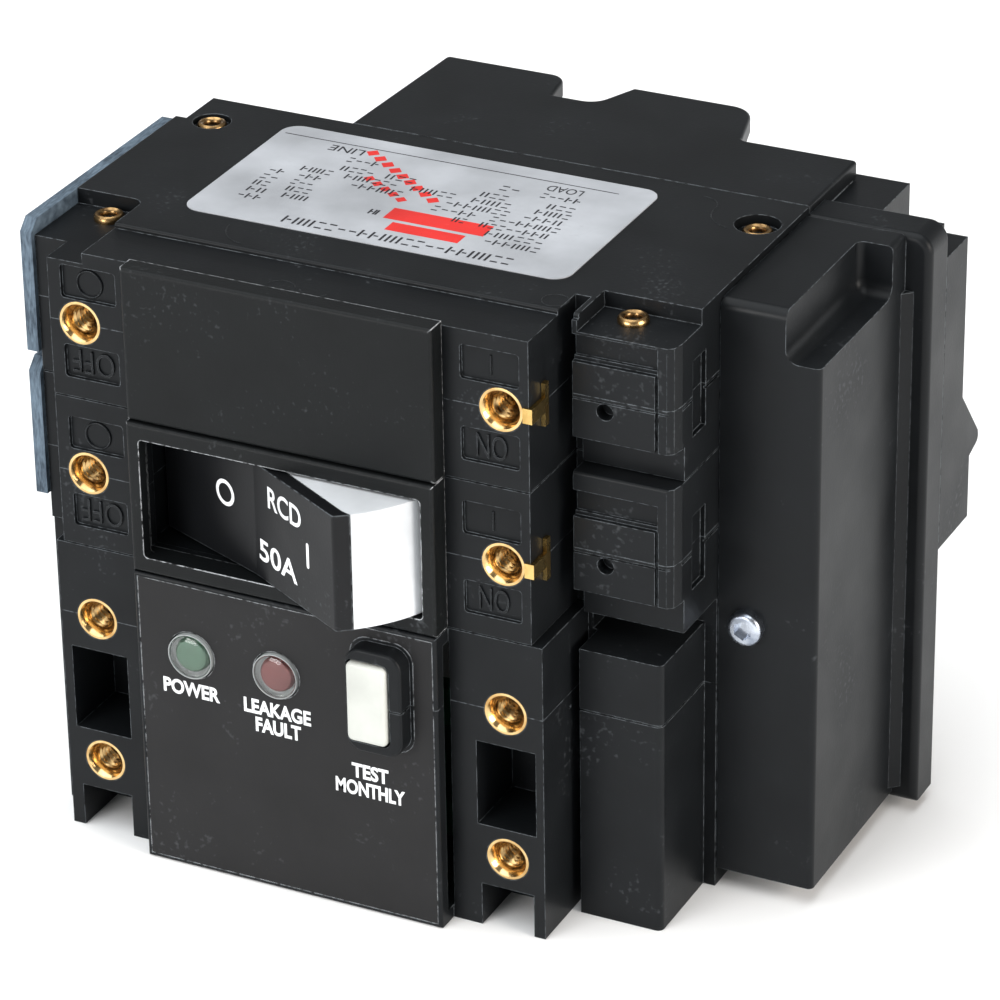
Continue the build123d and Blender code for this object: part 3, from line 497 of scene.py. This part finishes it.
# ------------------------------------------------------------------ fibre barriers
# Two sheets of vulcanised grey fibre, sheared to shape and slipped into the left end of the
# poles. Their cut faces show the pressed layers.
fibre_grey, tree, shader = new_material("fibre_grey")
place = tree.nodes.new("ShaderNodeTexCoord").outputs["Object"]
drawn = shader_step(tree, "ShaderNodeMapping", {"Vector": place, "Scale": (5, 1, 1)})
layers = shader_step(tree, "ShaderNodeTexNoise",
                     {"Vector": drawn.outputs[0], "Scale": 900.0, "Detail": 4.0})
clouds = shader_step(tree, "ShaderNodeTexNoise", {"Vector": place, "Scale": 160.0, "Detail": 4.0})
both = shader_step(tree, "ShaderNodeMath",
                   {0: layers.outputs[0], 1: clouds.outputs[0]}, operation="ADD")
share = shader_step(tree, "ShaderNodeMapRange",
                    {"Value": both.outputs[0], "From Min": 0.75, "From Max": 1.25})
fibre_colour = shader_step(tree, "ShaderNodeMix",
                           {0: share.outputs[0], 6: shade(48, 60, 72), 7: shade(104, 120, 134)},
                           data_type="RGBA")
fibre_rough = shader_step(tree, "ShaderNodeMapRange",
                          {"Value": share.outputs[0], "To Min": 0.62, "To Max": 0.85})
bump = shader_step(tree, "ShaderNodeBump",
                   {"Strength": 0.5, "Distance": 0.06 * mm, "Height": layers.outputs[0]})
tree.links.new(fibre_colour.outputs[2], shader.inputs["Base Color"])
tree.links.new(fibre_rough.outputs[0], shader.inputs["Roughness"])
tree.links.new(bump.outputs["Normal"], shader.inputs["Normal"])
shader.inputs["Specular IOR Level"].default_value = 0.3
finish(fibre_grey, "arc_barriers")

# ------------------------------------------------------------------ threaded inserts
# Eight turned brass bushes with a flared mouth, an internal screw thread and a knurled
# outside, pressed into the mouldings while they are hot. Brass earth straps go with two.
def turned(profile, centre, axis="y", steps=48):
    """Surface of revolution: each (radius, depth) of the profile is carried round the axis."""
    radius, depth = np.array(profile).T * mm
    angle = np.linspace(0, 2 * math.pi, steps + 1)
    across = radius[:, None] * np.cos(angle)
    up = radius[:, None] * np.sin(angle)
    return placed(across, up, np.broadcast_to(depth[:, None], across.shape), centre, axis)


def thread(plain, ridge, pitch, start, end, centre, axis="y", steps=48):
    """Screw thread: the radius runs from plain to ridge as a triangle wave of depth and angle.

    The wave climbs one pitch for each turn, and fades out over one pitch at both ends.
    """
    depth = np.linspace(start, end, int((end - start) / pitch * 6) + 1) * mm
    angle = np.linspace(0, 2 * math.pi, steps + 1)
    climb = (depth[:, None] / (pitch * mm) - angle / (2 * math.pi)) % 1.0
    wave = 1 - np.abs(2 * climb - 1)
    fade = np.clip(np.minimum(depth - start * mm, end * mm - depth) / (pitch * mm), 0, 1)
    radius = (plain + (ridge - plain) * wave * fade[:, None]) * mm
    return placed(radius * np.cos(angle), radius * np.sin(angle),
                  np.broadcast_to(depth[:, None], radius.shape), centre, axis)


def knurl(radius, relief, start, end, count, centre, steps=48):
    """Straight knurl: the radius rises and falls with the angle, and fades at both ends."""
    depth = np.linspace(start, end, 9) * mm
    angle = np.linspace(0, 2 * math.pi, steps + 1)
    fade = np.clip(np.minimum(depth - start * mm, end * mm - depth) / (0.4 * mm), 0, 1)
    groove = np.abs(np.sin(angle * count / 2)) * fade[:, None]
    reach = (radius - relief * groove) * mm
    return placed(reach * np.cos(angle), reach * np.sin(angle),
                  np.broadcast_to(depth[:, None], reach.shape), centre, "y")


insert_x = 26.44 * mm
insert_z = (-28.575 * mm, -9.525 * mm, 9.525 * mm, 28.575 * mm)
bore = 1.72
thread_crest = 1.3
thread_pitch = 0.72
bush_radius = 2.2
knurl_relief = 0.12
mouth = [(bore, 1.0), (1.74, 0.85), (2.24, 0.14), (2.32, 0.03), (2.45, 0.0), (2.62, 0.04),
         (2.7, 0.16), (2.66, 0.32), (bush_radius, 0.9), (bush_radius, 1.6)]
tail = [(bush_radius, 8.9), (2.05, 9.45), (1.9, 9.5), (0.0, 9.5)]
bottom = [(bore, 8.2), (0.6, 8.5), (0.0, 8.6)]
bush_grids = []
thread_grids = []
for side in (-1, 1):
    for height in insert_z:
        spot = (side * insert_x, 0, height)
        bush_grids += [turned(mouth, spot),
                       knurl(bush_radius, knurl_relief, 1.6, 8.9, 24, spot),
                       turned(tail, spot)]
        thread_grids += [thread(bore, thread_crest, thread_pitch, 1.0, 8.2, spot),
                         turned(bottom, spot)]
insert_brass = metal("insert_brass", shade(232, 198, 140), shade(184, 142, 86), 0.16, 420.0, 0.05)
# The thread and the bottom of the bore get a darker brass with dark-brown stains: painted shade in
# the bore.
shaded_thread_brass = metal("shaded_thread_brass", shade(204, 170, 116), shade(70, 44, 22), 0.2, 700.0, 0.05)
inserts = add_surface("brass_inserts", bush_grids)
inserts.data.materials.append(insert_brass)
threads = add_surface("insert_threads", thread_grids, sharp=25)
threads.data.flip_normals()
threads.data.materials.append(shaded_thread_brass)
for piece in (inserts, threads):
    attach(piece, "housing")
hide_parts("threaded_inserts")
strap_brass = metal("strap_brass", shade(224, 190, 120), shade(168, 128, 66), 0.25)
finish(strap_brass, "insert_straps")

# ------------------------------------------------------------------ case rivets
# Brass eyelets that clamp the stack of half shells: a drawn tube whose end is rolled
# over into a ring, darkened in its folds.
rolled_end = [(0.9, 0.2), (0.96, 0.5), (1.12, 0.7), (1.35, 0.79), (1.58, 0.72),
              (1.75, 0.5), (1.8, 0.25), (1.77, 0.0), (0.9, 0.0), (0.9, 0.2)]
rivet_spots = ((-29.9, 37.7, 37.2), (-29.1, 12.0, 36.1), (40.6, 37.1, 36.7), (36.8, 11.9, 36.1))
rivet_brass = metal("rivet_brass", shade(190, 154, 104), shade(70, 50, 34), 0.26, 900.0)
rivets = add_surface("eyelet_rivets", [
    turned(rolled_end, (x * mm, y * mm, z * mm), "z", 40) for x, y, z in rivet_spots])
rivets.data.materials.append(rivet_brass)
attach(rivets, "housing")
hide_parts("case_rivets")

# ------------------------------------------------------------------ screws, studs and nuts
# Zinc-plated steel: the screw of the side housing, the screws and pins inside, and the four
# rolled studs at the back with hexagon nuts on the line side.
zinc = metal("zinc", shade(206, 212, 222), shade(150, 158, 172), 0.24, 500.0)
finish(zinc, "housing_screw", "board_screws", "rocker_axle", "link_pin", "crank_pin",
       "drive_link")
stud_root = 2.1
stud_crest = 2.5
stud_pitch = 0.8
stud_start = 42.4
stud_end = 57.9
stud_grids = []
for x in (-insert_x, insert_x):
    for height in pole_height.values():
        spot = (x, 0, height)
        stud_grids += [
            turned([(0.0, stud_start), (stud_root, stud_start)], spot),
            thread(stud_root, stud_crest, stud_pitch, stud_start, stud_end, spot),
            turned([(stud_root, stud_end), (1.85, 58.3), (0.0, 58.3)], spot),
        ]
studs = add_surface("threaded_studs", stud_grids)
studs.data.materials.append(zinc)
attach(studs, "housing")
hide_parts("terminal_studs")


def hexagon_nut(corner, bore, start, end, chamfer, centre, steps=72):
    """Chamfered hexagon: the flat's distance over the cosine of the angle to its middle.

    Near both faces a cone cuts the corners off. The bore is a plain circle.
    """
    depth = np.array([start, start, start + chamfer, end - chamfer, end, end]) * mm
    angle = np.linspace(0, 2 * math.pi, steps + 1)
    flat = corner * math.cos(math.pi / 6)
    off_middle = (angle + math.pi / 6) % (math.pi / 3) - math.pi / 6
    outline = flat / np.cos(off_middle)
    limit = np.array([bore, flat, corner, corner, flat, bore])
    reach = np.minimum(outline[None, :], limit[:, None]) * mm
    reach[0] = reach[-1] = bore * mm
    loop = np.concatenate([reach, reach[:1]])
    run = np.concatenate([depth, depth[:1]])
    return placed(loop * np.cos(angle), loop * np.sin(angle),
                  np.broadcast_to(run[:, None], loop.shape), centre, "y")


nut_low, nut_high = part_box("terminal_nuts")
nut_corner = 4.4
nut_bore = 2.52
nut_chamfer = 0.55
nuts = add_surface("hexagon_nuts", [
    hexagon_nut(nut_corner, nut_bore, nut_low.y / mm, nut_high.y / mm, nut_chamfer,
                (-insert_x, 0, height))
    for height in (9.525 * mm, 28.575 * mm)], sharp=25)
nuts.data.materials.append(zinc)
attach(nuts, "housing")
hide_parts("terminal_nuts")

# ------------------------------------------------------------------ bezel and cover plate
# Two moulded front pieces clipped over the poles: a blank plate on the upper pole and the
# frame round the rocker. Their faces have a coarser spark grain than the cases.
# Near-white edges at full strength: a painted highlight where the edges catch the light, with
# scuffs.
plate_black = moulding("plate_black", shade(18, 20, 21), pale_dust, 0.45, grain=3400.0,
                       bump_strength=0.4, specks=0.1, radius=0.24 * mm, wear_and_highlight=1.0,
                       wear_and_highlight_colour=(228, 232, 236), gloss=0.14)
finish(plate_black, "cover_plate", "rocker_bezel")

# ------------------------------------------------------------------ position marks
# Marks moulded in thin raised lines on the floors of the small windows above and below
# each pole's inserts: rings and bars, and OFF and ON the other way up.
mark_floor = 0.5 * mm
mark_height = 0.24 * mm
right_way = Vector((1, 0, 0))
up_way = Vector((0, 0, 1))


def lettering(name, word, width, height, centre, right, up, depth, weight=0.0):
    """Words set as a flat curve, made a mesh, and fitted to a width, a height and a depth.

    A point (x, y, z) of the fitted words goes to centre + right x + up y + outward z,
    where outward is the cross product of right and up.
    """
    setting = bpy.data.curves.new(name, "FONT")
    setting.body = word
    setting.offset = weight
    setting.extrude = 0.02
    setting.resolution_u = 4
    holder = bpy.data.objects.new(name + "_setting", setting)
    bpy.context.scene.collection.objects.link(holder)
    drawn = holder.evaluated_get(bpy.context.evaluated_depsgraph_get())
    mesh = bpy.data.meshes.new_from_object(drawn)
    bpy.data.objects.remove(holder)
    flat = np.empty(len(mesh.vertices) * 3, np.float32)
    mesh.vertices.foreach_get("co", flat)
    flat = flat.reshape(-1, 3)
    low, high = flat.min(axis=0), flat.max(axis=0)
    share = (flat - low) / (high - low) - np.array([0.5, 0.5, 0.0])
    basis = np.array([right * width, up * height, right.cross(up) * depth])
    mesh.vertices.foreach_set("co", (np.array(centre) + share @ basis).astype(np.float32).ravel())
    mesh.update()
    piece = bpy.data.objects.new(name, mesh)
    bpy.context.scene.collection.objects.link(piece)
    return piece


def ring_ridge(middle_radius, half_width, depth, centre, outward, right, up, sweep=(0, 360)):
    """Raised ring or arc: a half-round section carried round a circle, over sweep degrees."""
    around = np.radians(np.linspace(*sweep, 49))[:, None, None]
    section = np.linspace(0, 2 * math.pi, 13)[None, :, None]
    radius = middle_radius + half_width * np.cos(section)
    rise = depth * np.maximum(np.sin(section), 0.0)
    return (np.array(centre) + radius * np.cos(around) * np.array(right)
            + radius * np.sin(around) * np.array(up) + rise * np.array(outward))


def bar_ridge(half_length, half_width, depth, centre, outward, right, up):
    """Raised bar with round ends: a half-round section along a line, shrinking at its tips."""
    along = np.sin(np.linspace(-math.pi / 2, math.pi / 2, 15))[:, None, None]
    section = np.linspace(0, 2 * math.pi, 13)[None, :, None]
    taper = np.clip((1 - np.abs(along)) * half_length / half_width, 0, 1)
    width = half_width * np.sqrt(1 - (1 - taper) ** 2)
    return (np.array(centre) + along * half_length * np.array(up)
            + width * np.cos(section) * np.array(right)
            + depth * taper ** 0.5 * np.maximum(np.sin(section), 0.0) * np.array(outward))


outward = Vector((0, -1, 0))
mark_x = 25.1 * mm
mark_offset = 4.95 * mm
ridge_half_width = 0.15 * mm
ridges = []
for height in pole_height.values():
    ridges.append(ring_ridge(1.6 * mm, ridge_half_width, mark_height,
                             (-mark_x, mark_floor, height + mark_offset),
                             outward, right_way, up_way))
    ridges.append(bar_ridge(1.25 * mm, ridge_half_width, mark_height,
                            (mark_x, mark_floor, height + mark_offset),
                            outward, right_way, up_way))
mark_black = moulding("mark_black", shade(22, 24, 26), pale_dust, 0.3, specks=0.05,
                      radius=0.05 * mm, wear_and_highlight=0.6)
marks = add_surface("raised_marks", ridges)
marks.data.materials.append(mark_black)
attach(marks, "housing")
for pole, height in pole_height.items():
    for word, x, width in (("OFF", -mark_x, 5.4), ("ON", mark_x, 3.7)):
        mark = lettering("raised_" + word.lower() + "_" + pole, word, width * mm, 2.9 * mm,
                         (x, mark_floor, height - mark_offset), -right_way, -up_way,
                         mark_height, -0.012)
        mark.data.materials.append(mark_black)
        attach(mark, "housing")

# The tool also left fine lines on the top: arcs of its inserts and a ring of an ejector pin.
top_level = 38.02 * mm
ledge_level = 37.42 * mm
line_half_width = 0.06 * mm
line_height = 0.05 * mm
tool_arcs = [
    ring_ridge(radius * mm, line_half_width, line_height, (x * mm, y * mm, level), up_way,
               right_way, Vector((0, 1, 0)), sweep)
    for x, y, level, radius, sweep in (
        (-9.5, 12.6, top_level, 4.1, (180, 262)),
        (32.0, 39.2, top_level, 2.5, (-10, 90)),
        (38.4, 38.7, top_level, 3.9, (180, 262)),
        (28.5, 9.6, top_level, 1.5, (0, 360)),
        (-1.2, 1.2, ledge_level, 1.8, (20, 160)),
        (2.8, 2.3, ledge_level, 1.8, (200, 340)),
    )
]
tool_lines = add_surface("tool_lines", tool_arcs)
tool_lines.data.materials.append(mark_black)
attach(tool_lines, "housing")

# ------------------------------------------------------------------ rocker
# Black rocker with a white insert moulded into its right end, which shows only while the
# switch is off. O, I and two words are pad-printed in white on its two facets.
rocker_black = moulding("rocker_black", shade(18, 19, 21), pale_dust, 0.38, grain=3000.0,
                        bump_strength=0.2, specks=0.1, radius=0.3 * mm, wear_and_highlight=0.45)
finish(rocker_black, "rocker")
rocker_white = moulding("rocker_white", shade(212, 216, 220), shade(190, 190, 188), 0.38,
                        grain=1800.0, bump_strength=0.06, specks=0.12, radius=0.25 * mm,
                        wear_and_highlight=0.3, wear_and_highlight_colour=(252, 252, 252), gloss=0.5)
finish(rocker_white, "rocker_insert")
print_white = moulding("print_white", shade(238, 240, 242), shade(170, 172, 176), 0.5,
                       grain=4200.0, bump_strength=0.12, specks=0.3, radius=0.02 * mm,
                       wear_and_highlight=0.2, wear_and_highlight_colour=(200, 200, 200))

rocker_turn = Matrix.Rotation(math.radians(-26), 3, "Z")
rocker_axis = Vector((0, 6 * mm, 0))
valley = Vector((0, -2.6 * mm, 0))
print_lift = 0.012 * mm


def on_facet(side, x, z):
    """Spot on the rocker's left (-1) or right (1) facet, and the facet's direction to the right.

    The facet is a plane from the valley to its outer corner, turned about the rocker's axis.
    """
    corner = Vector((side * 16.4 * mm, -3.6 * mm, 0))
    run = (corner - valley).normalized()
    spot = valley + run * (abs(x) * mm / abs(run.x))
    right = rocker_turn @ (run * side)
    spot = rocker_turn @ (spot - rocker_axis) + rocker_axis
    spot.z = z * mm
    return spot + right.cross(up_way) * print_lift, right


for name, word, x, z, width, height in (
    ("printed_rcd", "RCD", 6.4, 13.5, 6.9, 2.75),
    ("printed_50a", "50A", 4.7, 6.1, 7.9, 2.75),
):
    spot, right = on_facet(1, x, z)
    words = lettering(name, word, width * mm, height * mm, spot, right, up_way,
                      0.03 * mm, 0.014)
    words.data.materials.append(print_white)
    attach(words, "rocker")

left_spot, left_right = on_facet(-1, -5.3, 10.8)
right_spot, right_right = on_facet(1, 11.0, 9.5)
symbols = add_surface("printed_symbols", [
    ring_ridge(1.4 * mm, 0.25 * mm, 0.03 * mm, left_spot, left_right.cross(up_way),
               left_right, up_way),
    bar_ridge(1.6 * mm, 0.27 * mm, 0.03 * mm, right_spot, right_right.cross(up_way),
              right_right, up_way),
])
symbols.data.materials.append(print_white)
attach(symbols, "rocker")

# ------------------------------------------------------------------ electronics face
# Thin black polyester film glued over the module's front, with words screen-printed in
# white under the lamps and under the test button.
# Near-white edges at full strength: a painted highlight along the edges, with scuffs.
film_black = moulding("film_black", shade(29, 29, 30), pale_dust, 0.5, grain=4600.0,
                      bump_strength=0.25, specks=0.1, radius=0.2 * mm, wear_and_highlight=1.0,
                      wear_and_highlight_colour=(226, 230, 234))
finish(film_black, "face_overlay")
face_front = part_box("face_overlay")[0].y
for name, word, x, z, width in (
    ("printed_power", "POWER", -12.4, -14.05, 7.4),
    ("printed_leakage", "LEAKAGE", -1.2, -14.25, 8.7),
    ("printed_fault", "FAULT", -1.15, -16.55, 5.9),
    ("printed_test", "TEST", 10.6, -19.55, 4.7),
    ("printed_monthly", "MONTHLY", 10.55, -21.9, 8.9),
):
    words = lettering(name, word, width * mm, 1.95 * mm, (x * mm, face_front, z * mm),
                      right_way, up_way, 0.02 * mm, 0.034)
    words.data.materials.append(print_white)
    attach(words, "housing")

# ------------------------------------------------------------------ lamps
# Each lamp is a clear cast lens with a domed front round a tinted diffuser, set in a pale
# rim, with two tinned leads that run back to the board.
clear_cast, tree, shader = new_material("clear_cast")
place = tree.nodes.new("ShaderNodeTexCoord").outputs["Object"]
ripple = shader_step(tree, "ShaderNodeTexNoise", {"Vector": place, "Scale": 500.0})
haze = shader_step(tree, "ShaderNodeMapRange",
                   {"Value": ripple.outputs[0], "To Min": 0.04, "To Max": 0.2})
tint = shader_step(tree, "ShaderNodeMix",
                   {0: ripple.outputs[0], 6: shade(228, 232, 230), 7: shade(250, 250, 250)},
                   data_type="RGBA")
bump = shader_step(tree, "ShaderNodeBump",
                   {"Strength": 0.1, "Distance": 0.03 * mm, "Height": ripple.outputs[0]})
tree.links.new(tint.outputs[2], shader.inputs["Base Color"])
tree.links.new(haze.outputs[0], shader.inputs["Roughness"])
tree.links.new(bump.outputs["Normal"], shader.inputs["Normal"])
shader.inputs["Transmission Weight"].default_value = 1.0
shader.inputs["IOR"].default_value = 1.46

rim_grey = moulding("rim_grey", shade(150, 154, 154), shade(210, 210, 208), 0.3, wear_and_highlight=0.4,
                    radius=0.08 * mm, wear_and_highlight_colour=(220, 224, 224), gloss=0.5)
tinned = metal("tinned", shade(200, 202, 204), shade(140, 142, 144), 0.3)
lens_profile = [(0.0, -3.98), (0.7, -3.94), (1.4, -3.82), (2.0, -3.66), (2.4, -3.5),
                (2.62, -3.34), (2.66, -3.1), (2.66, -2.2), (0.0, -2.2)]
rim_profile = [(2.68, -3.3), (2.74, -3.42), (2.83, -3.42), (2.85, -3.3), (2.85, 3.5),
               (0.0, 3.5), (0.0, -2.1), (2.68, -2.1), (2.68, -3.3)]
lamp_z = -9.5 * mm
for name, x, deep, pale in (
    ("green_lamp", -12.2, (104, 138, 116), (150, 174, 158)),
    ("red_lamp", -1.15, (140, 78, 76), (178, 124, 120)),
):
    spot = (x * mm, 0, lamp_z)
    diffuser_tint = moulding(name + "_diffuser_tint", shade(*deep), shade(*pale), 0.45,
                             grain=900.0, specks=0.6, wear_and_highlight=0.2, radius=0.1 * mm, gloss=0.5)
    rim = add_surface(name + "_rim", [turned(rim_profile, spot)])
    rim.data.materials.append(rim_grey)
    diffuser = add_surface(name + "_diffuser", [
        turned([(0.0, -2.95), (1.3, -2.9), (1.75, -2.7), (1.9, -2.4), (1.9, -2.12),
                (0.0, -2.12)], spot)])
    diffuser.data.materials.append(diffuser_tint)
    lens_cap = add_surface(name + "_lens", [turned(lens_profile, spot)])
    lens_cap.data.materials.append(clear_cast)
    leads = add_surface(name + "_leads", [
        turned([(0.0, 3.4), (0.3, 3.4), (0.3, 11.8), (0.0, 11.98)],
               ((x + step) * mm, 0, lamp_z), steps=16) for step in (-1.27, 1.27)])
    leads.data.materials.append(tinned)
    for piece in (rim, diffuser, lens_cap, leads):
        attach(piece, "housing")
    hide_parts(name)

# ------------------------------------------------------------------ test button
# Ivory push button with eased edges, guided in the raised collar, and its coil spring of
# hard steel wire round the stem.
button_ivory = moulding("button_ivory", shade(190, 192, 186), shade(200, 196, 184), 0.34,
                        grain=1500.0, bump_strength=0.08, specks=0.25, radius=0.35 * mm,
                        wear_and_highlight=0.3, wear_and_highlight_colour=(244, 244, 238), gloss=0.5)
finish(button_ivory, "test_button")
spring_wire = metal("spring_wire", shade(170, 172, 176), shade(110, 110, 112), 0.25, 800.0)
spring_radius = 1.8 * mm
spring_thickness = 0.24 * mm
spring = add_surface("return_spring", [
    wound(spring_radius, spring_thickness, 0.16 * mm, 8.5 * mm, 8,
          (11.75 * mm, 0, -8.9 * mm), "y")])
spring.data.materials.append(spring_wire)
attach(spring, "housing")
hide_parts("button_spring")
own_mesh(spring)

# ------------------------------------------------------------------ rating label
# Silvery polyester film on the top face, printed in black with a rule, two words and rows
# of plain bars, and in red with two broad bars and two slanting rows of dashes. It reads
# from behind the device.
label_film = moulding("label_film", shade(166, 169, 174), shade(146, 149, 155), 0.42,
                      grain=1400.0, bump_strength=0.05, specks=0.2, radius=0.05 * mm,
                      wear_and_highlight=0.5, wear_and_highlight_colour=(250, 250, 250), gloss=0.5)
finish(label_film, "rating_label")
label_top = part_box("rating_label")[1].z + 0.01 * mm


def printed_strokes(strokes):
    """Flat strokes on the label: (x0, y0, x1, y1, width) each becomes a four-cornered band."""
    ends = np.array(strokes) * mm
    run = ends[:, 2:4] - ends[:, 0:2]
    side = np.stack([-run[:, 1], run[:, 0]], axis=1)
    side *= (ends[:, 4] / 2 / np.linalg.norm(run, axis=1))[:, None]
    corners = np.stack([ends[:, 0:2] + side, ends[:, 0:2] - side,
                        ends[:, 2:4] + side, ends[:, 2:4] - side], axis=1)
    level = np.full((len(ends), 4, 1), label_top)
    return list(np.concatenate([corners, level], axis=2).reshape(-1, 2, 2, 3))


label_ink = moulding("label_ink", shade(38, 38, 42), shade(120, 120, 124), 0.5, specks=0.3,
                     radius=0.02 * mm, wear_and_highlight=0.1)
label_red = moulding("label_red", shade(205, 48, 44), shade(226, 120, 110), 0.45, specks=0.3,
                     radius=0.02 * mm, wear_and_highlight=0.1)
# Each row is its y, then the start and end of its words along x.
rows = (
    (34.1, ((-9.9, -5.6), (9.8, 12.6), (15.0, 20.2))),
    (31.6, ((-9.4, -5.0), (-3.6, 0.4), (8.6, 12.2), (17.0, 20.6))),
    (29.7, ((-13.6, -9.4), (-7.9, -1.0), (0.6, 6.4), (8.4, 13.4), (16.4, 21.0))),
    (27.8, ((-16.8, -14.6), (-13.0, -9.8), (-6.2, 0.6), (6.0, 14.2), (15.8, 20.8))),
    (25.9, ((-16.9, -14.4), (-12.9, -9.9), (5.2, 11.0), (12.6, 21.4))),
    (24.0, ((-16.8, -14.6), (-12.5, -9.2), (8.8, 10.6), (12.2, 20.9))),
    (22.1, ((-16.6, -14.0), (-12.0, -8.6), (-0.8, 0.4), (13.8, 21.2))),
    (20.2, ((-16.8, -13.6), (14.6, 21.6))),
)
ink_strokes = [(-20.2, 38.0, 23.0, 38.0, 0.16)]
# Four groups of plain bars stand for print: their ends, in shares of a cell.
bar_groups = (
    ((0.1, 0.1, 0.75, 0.1), (0.1, 0.9, 0.75, 0.9)),
    ((0.15, 0.0, 0.15, 1.0), (0.65, 0.0, 0.65, 1.0)),
    ((0.15, 0.0, 0.15, 1.0), (0.35, 0.5, 0.75, 0.5)),
    ((0.1, 0.5, 0.75, 0.5),),
)


def row_of_bars(row, start, stop, cell, height, thickness, first):
    """Strokes of the bar groups side by side from start to stop along X, at one Y."""
    count = max(2, round((stop - start) / cell))
    step = (stop - start) / count
    strokes = []
    for number in range(count):
        left = start + step * number
        group = bar_groups[(number * 3 + number // 2 + first) % len(bar_groups)]
        for x0, y0, x1, y1 in group:
            strokes.append((left + x0 * step, row + (y0 - 0.5) * height,
                            left + x1 * step, row + (y1 - 0.5) * height, thickness))
    return strokes


for first, (row, words) in enumerate(rows):
    for start, stop in words:
        ink_strokes += row_of_bars(row, start, stop, 1.15, 1.3, 0.24, first)
ink_strokes += row_of_bars(16.3, -8.8, 20.2, cell=1.4, height=1.8, thickness=0.3, first=2)
ink = add_surface("label_print", printed_strokes(ink_strokes), outward=False)
ink.data.materials.append(label_ink)
red_strokes = [(1.4, 22.6, 14.0, 22.6, 3.0), (3.0, 19.4, 12.2, 19.4, 2.2)]
red_strokes += [(-8.4 + 1.55 * i, 37.4 - 1.15 * i, -7.6 + 1.55 * i, 36.4 - 1.15 * i, 1.3)
                for i in range(9)]
red_strokes += [(-5.4 + 1.5 * i, 30.6 - 0.95 * i, -4.6 + 1.5 * i, 29.8 - 0.95 * i, 1.1)
                for i in range(5)]
below_ink = np.array([0, 0, 0.004 * mm])
red = add_surface("label_red_print",
                  [grid - below_ink for grid in printed_strokes(red_strokes)], outward=False)
red.data.materials.append(label_red)
for piece in (ink, red):
    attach(piece, "housing")
for name, word, x, y in (("label_line", "LINE", -11.2, 36.4), ("label_load", "LOAD", 17.0, 36.3)):
    words = lettering(name, word, 4.4 * mm, 1.5 * mm, (x * mm, y * mm, label_top),
                      -right_way, Vector((0, -1, 0)), 0.01 * mm, 0.0)
    words.data.materials.append(label_ink)
    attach(words, "housing")
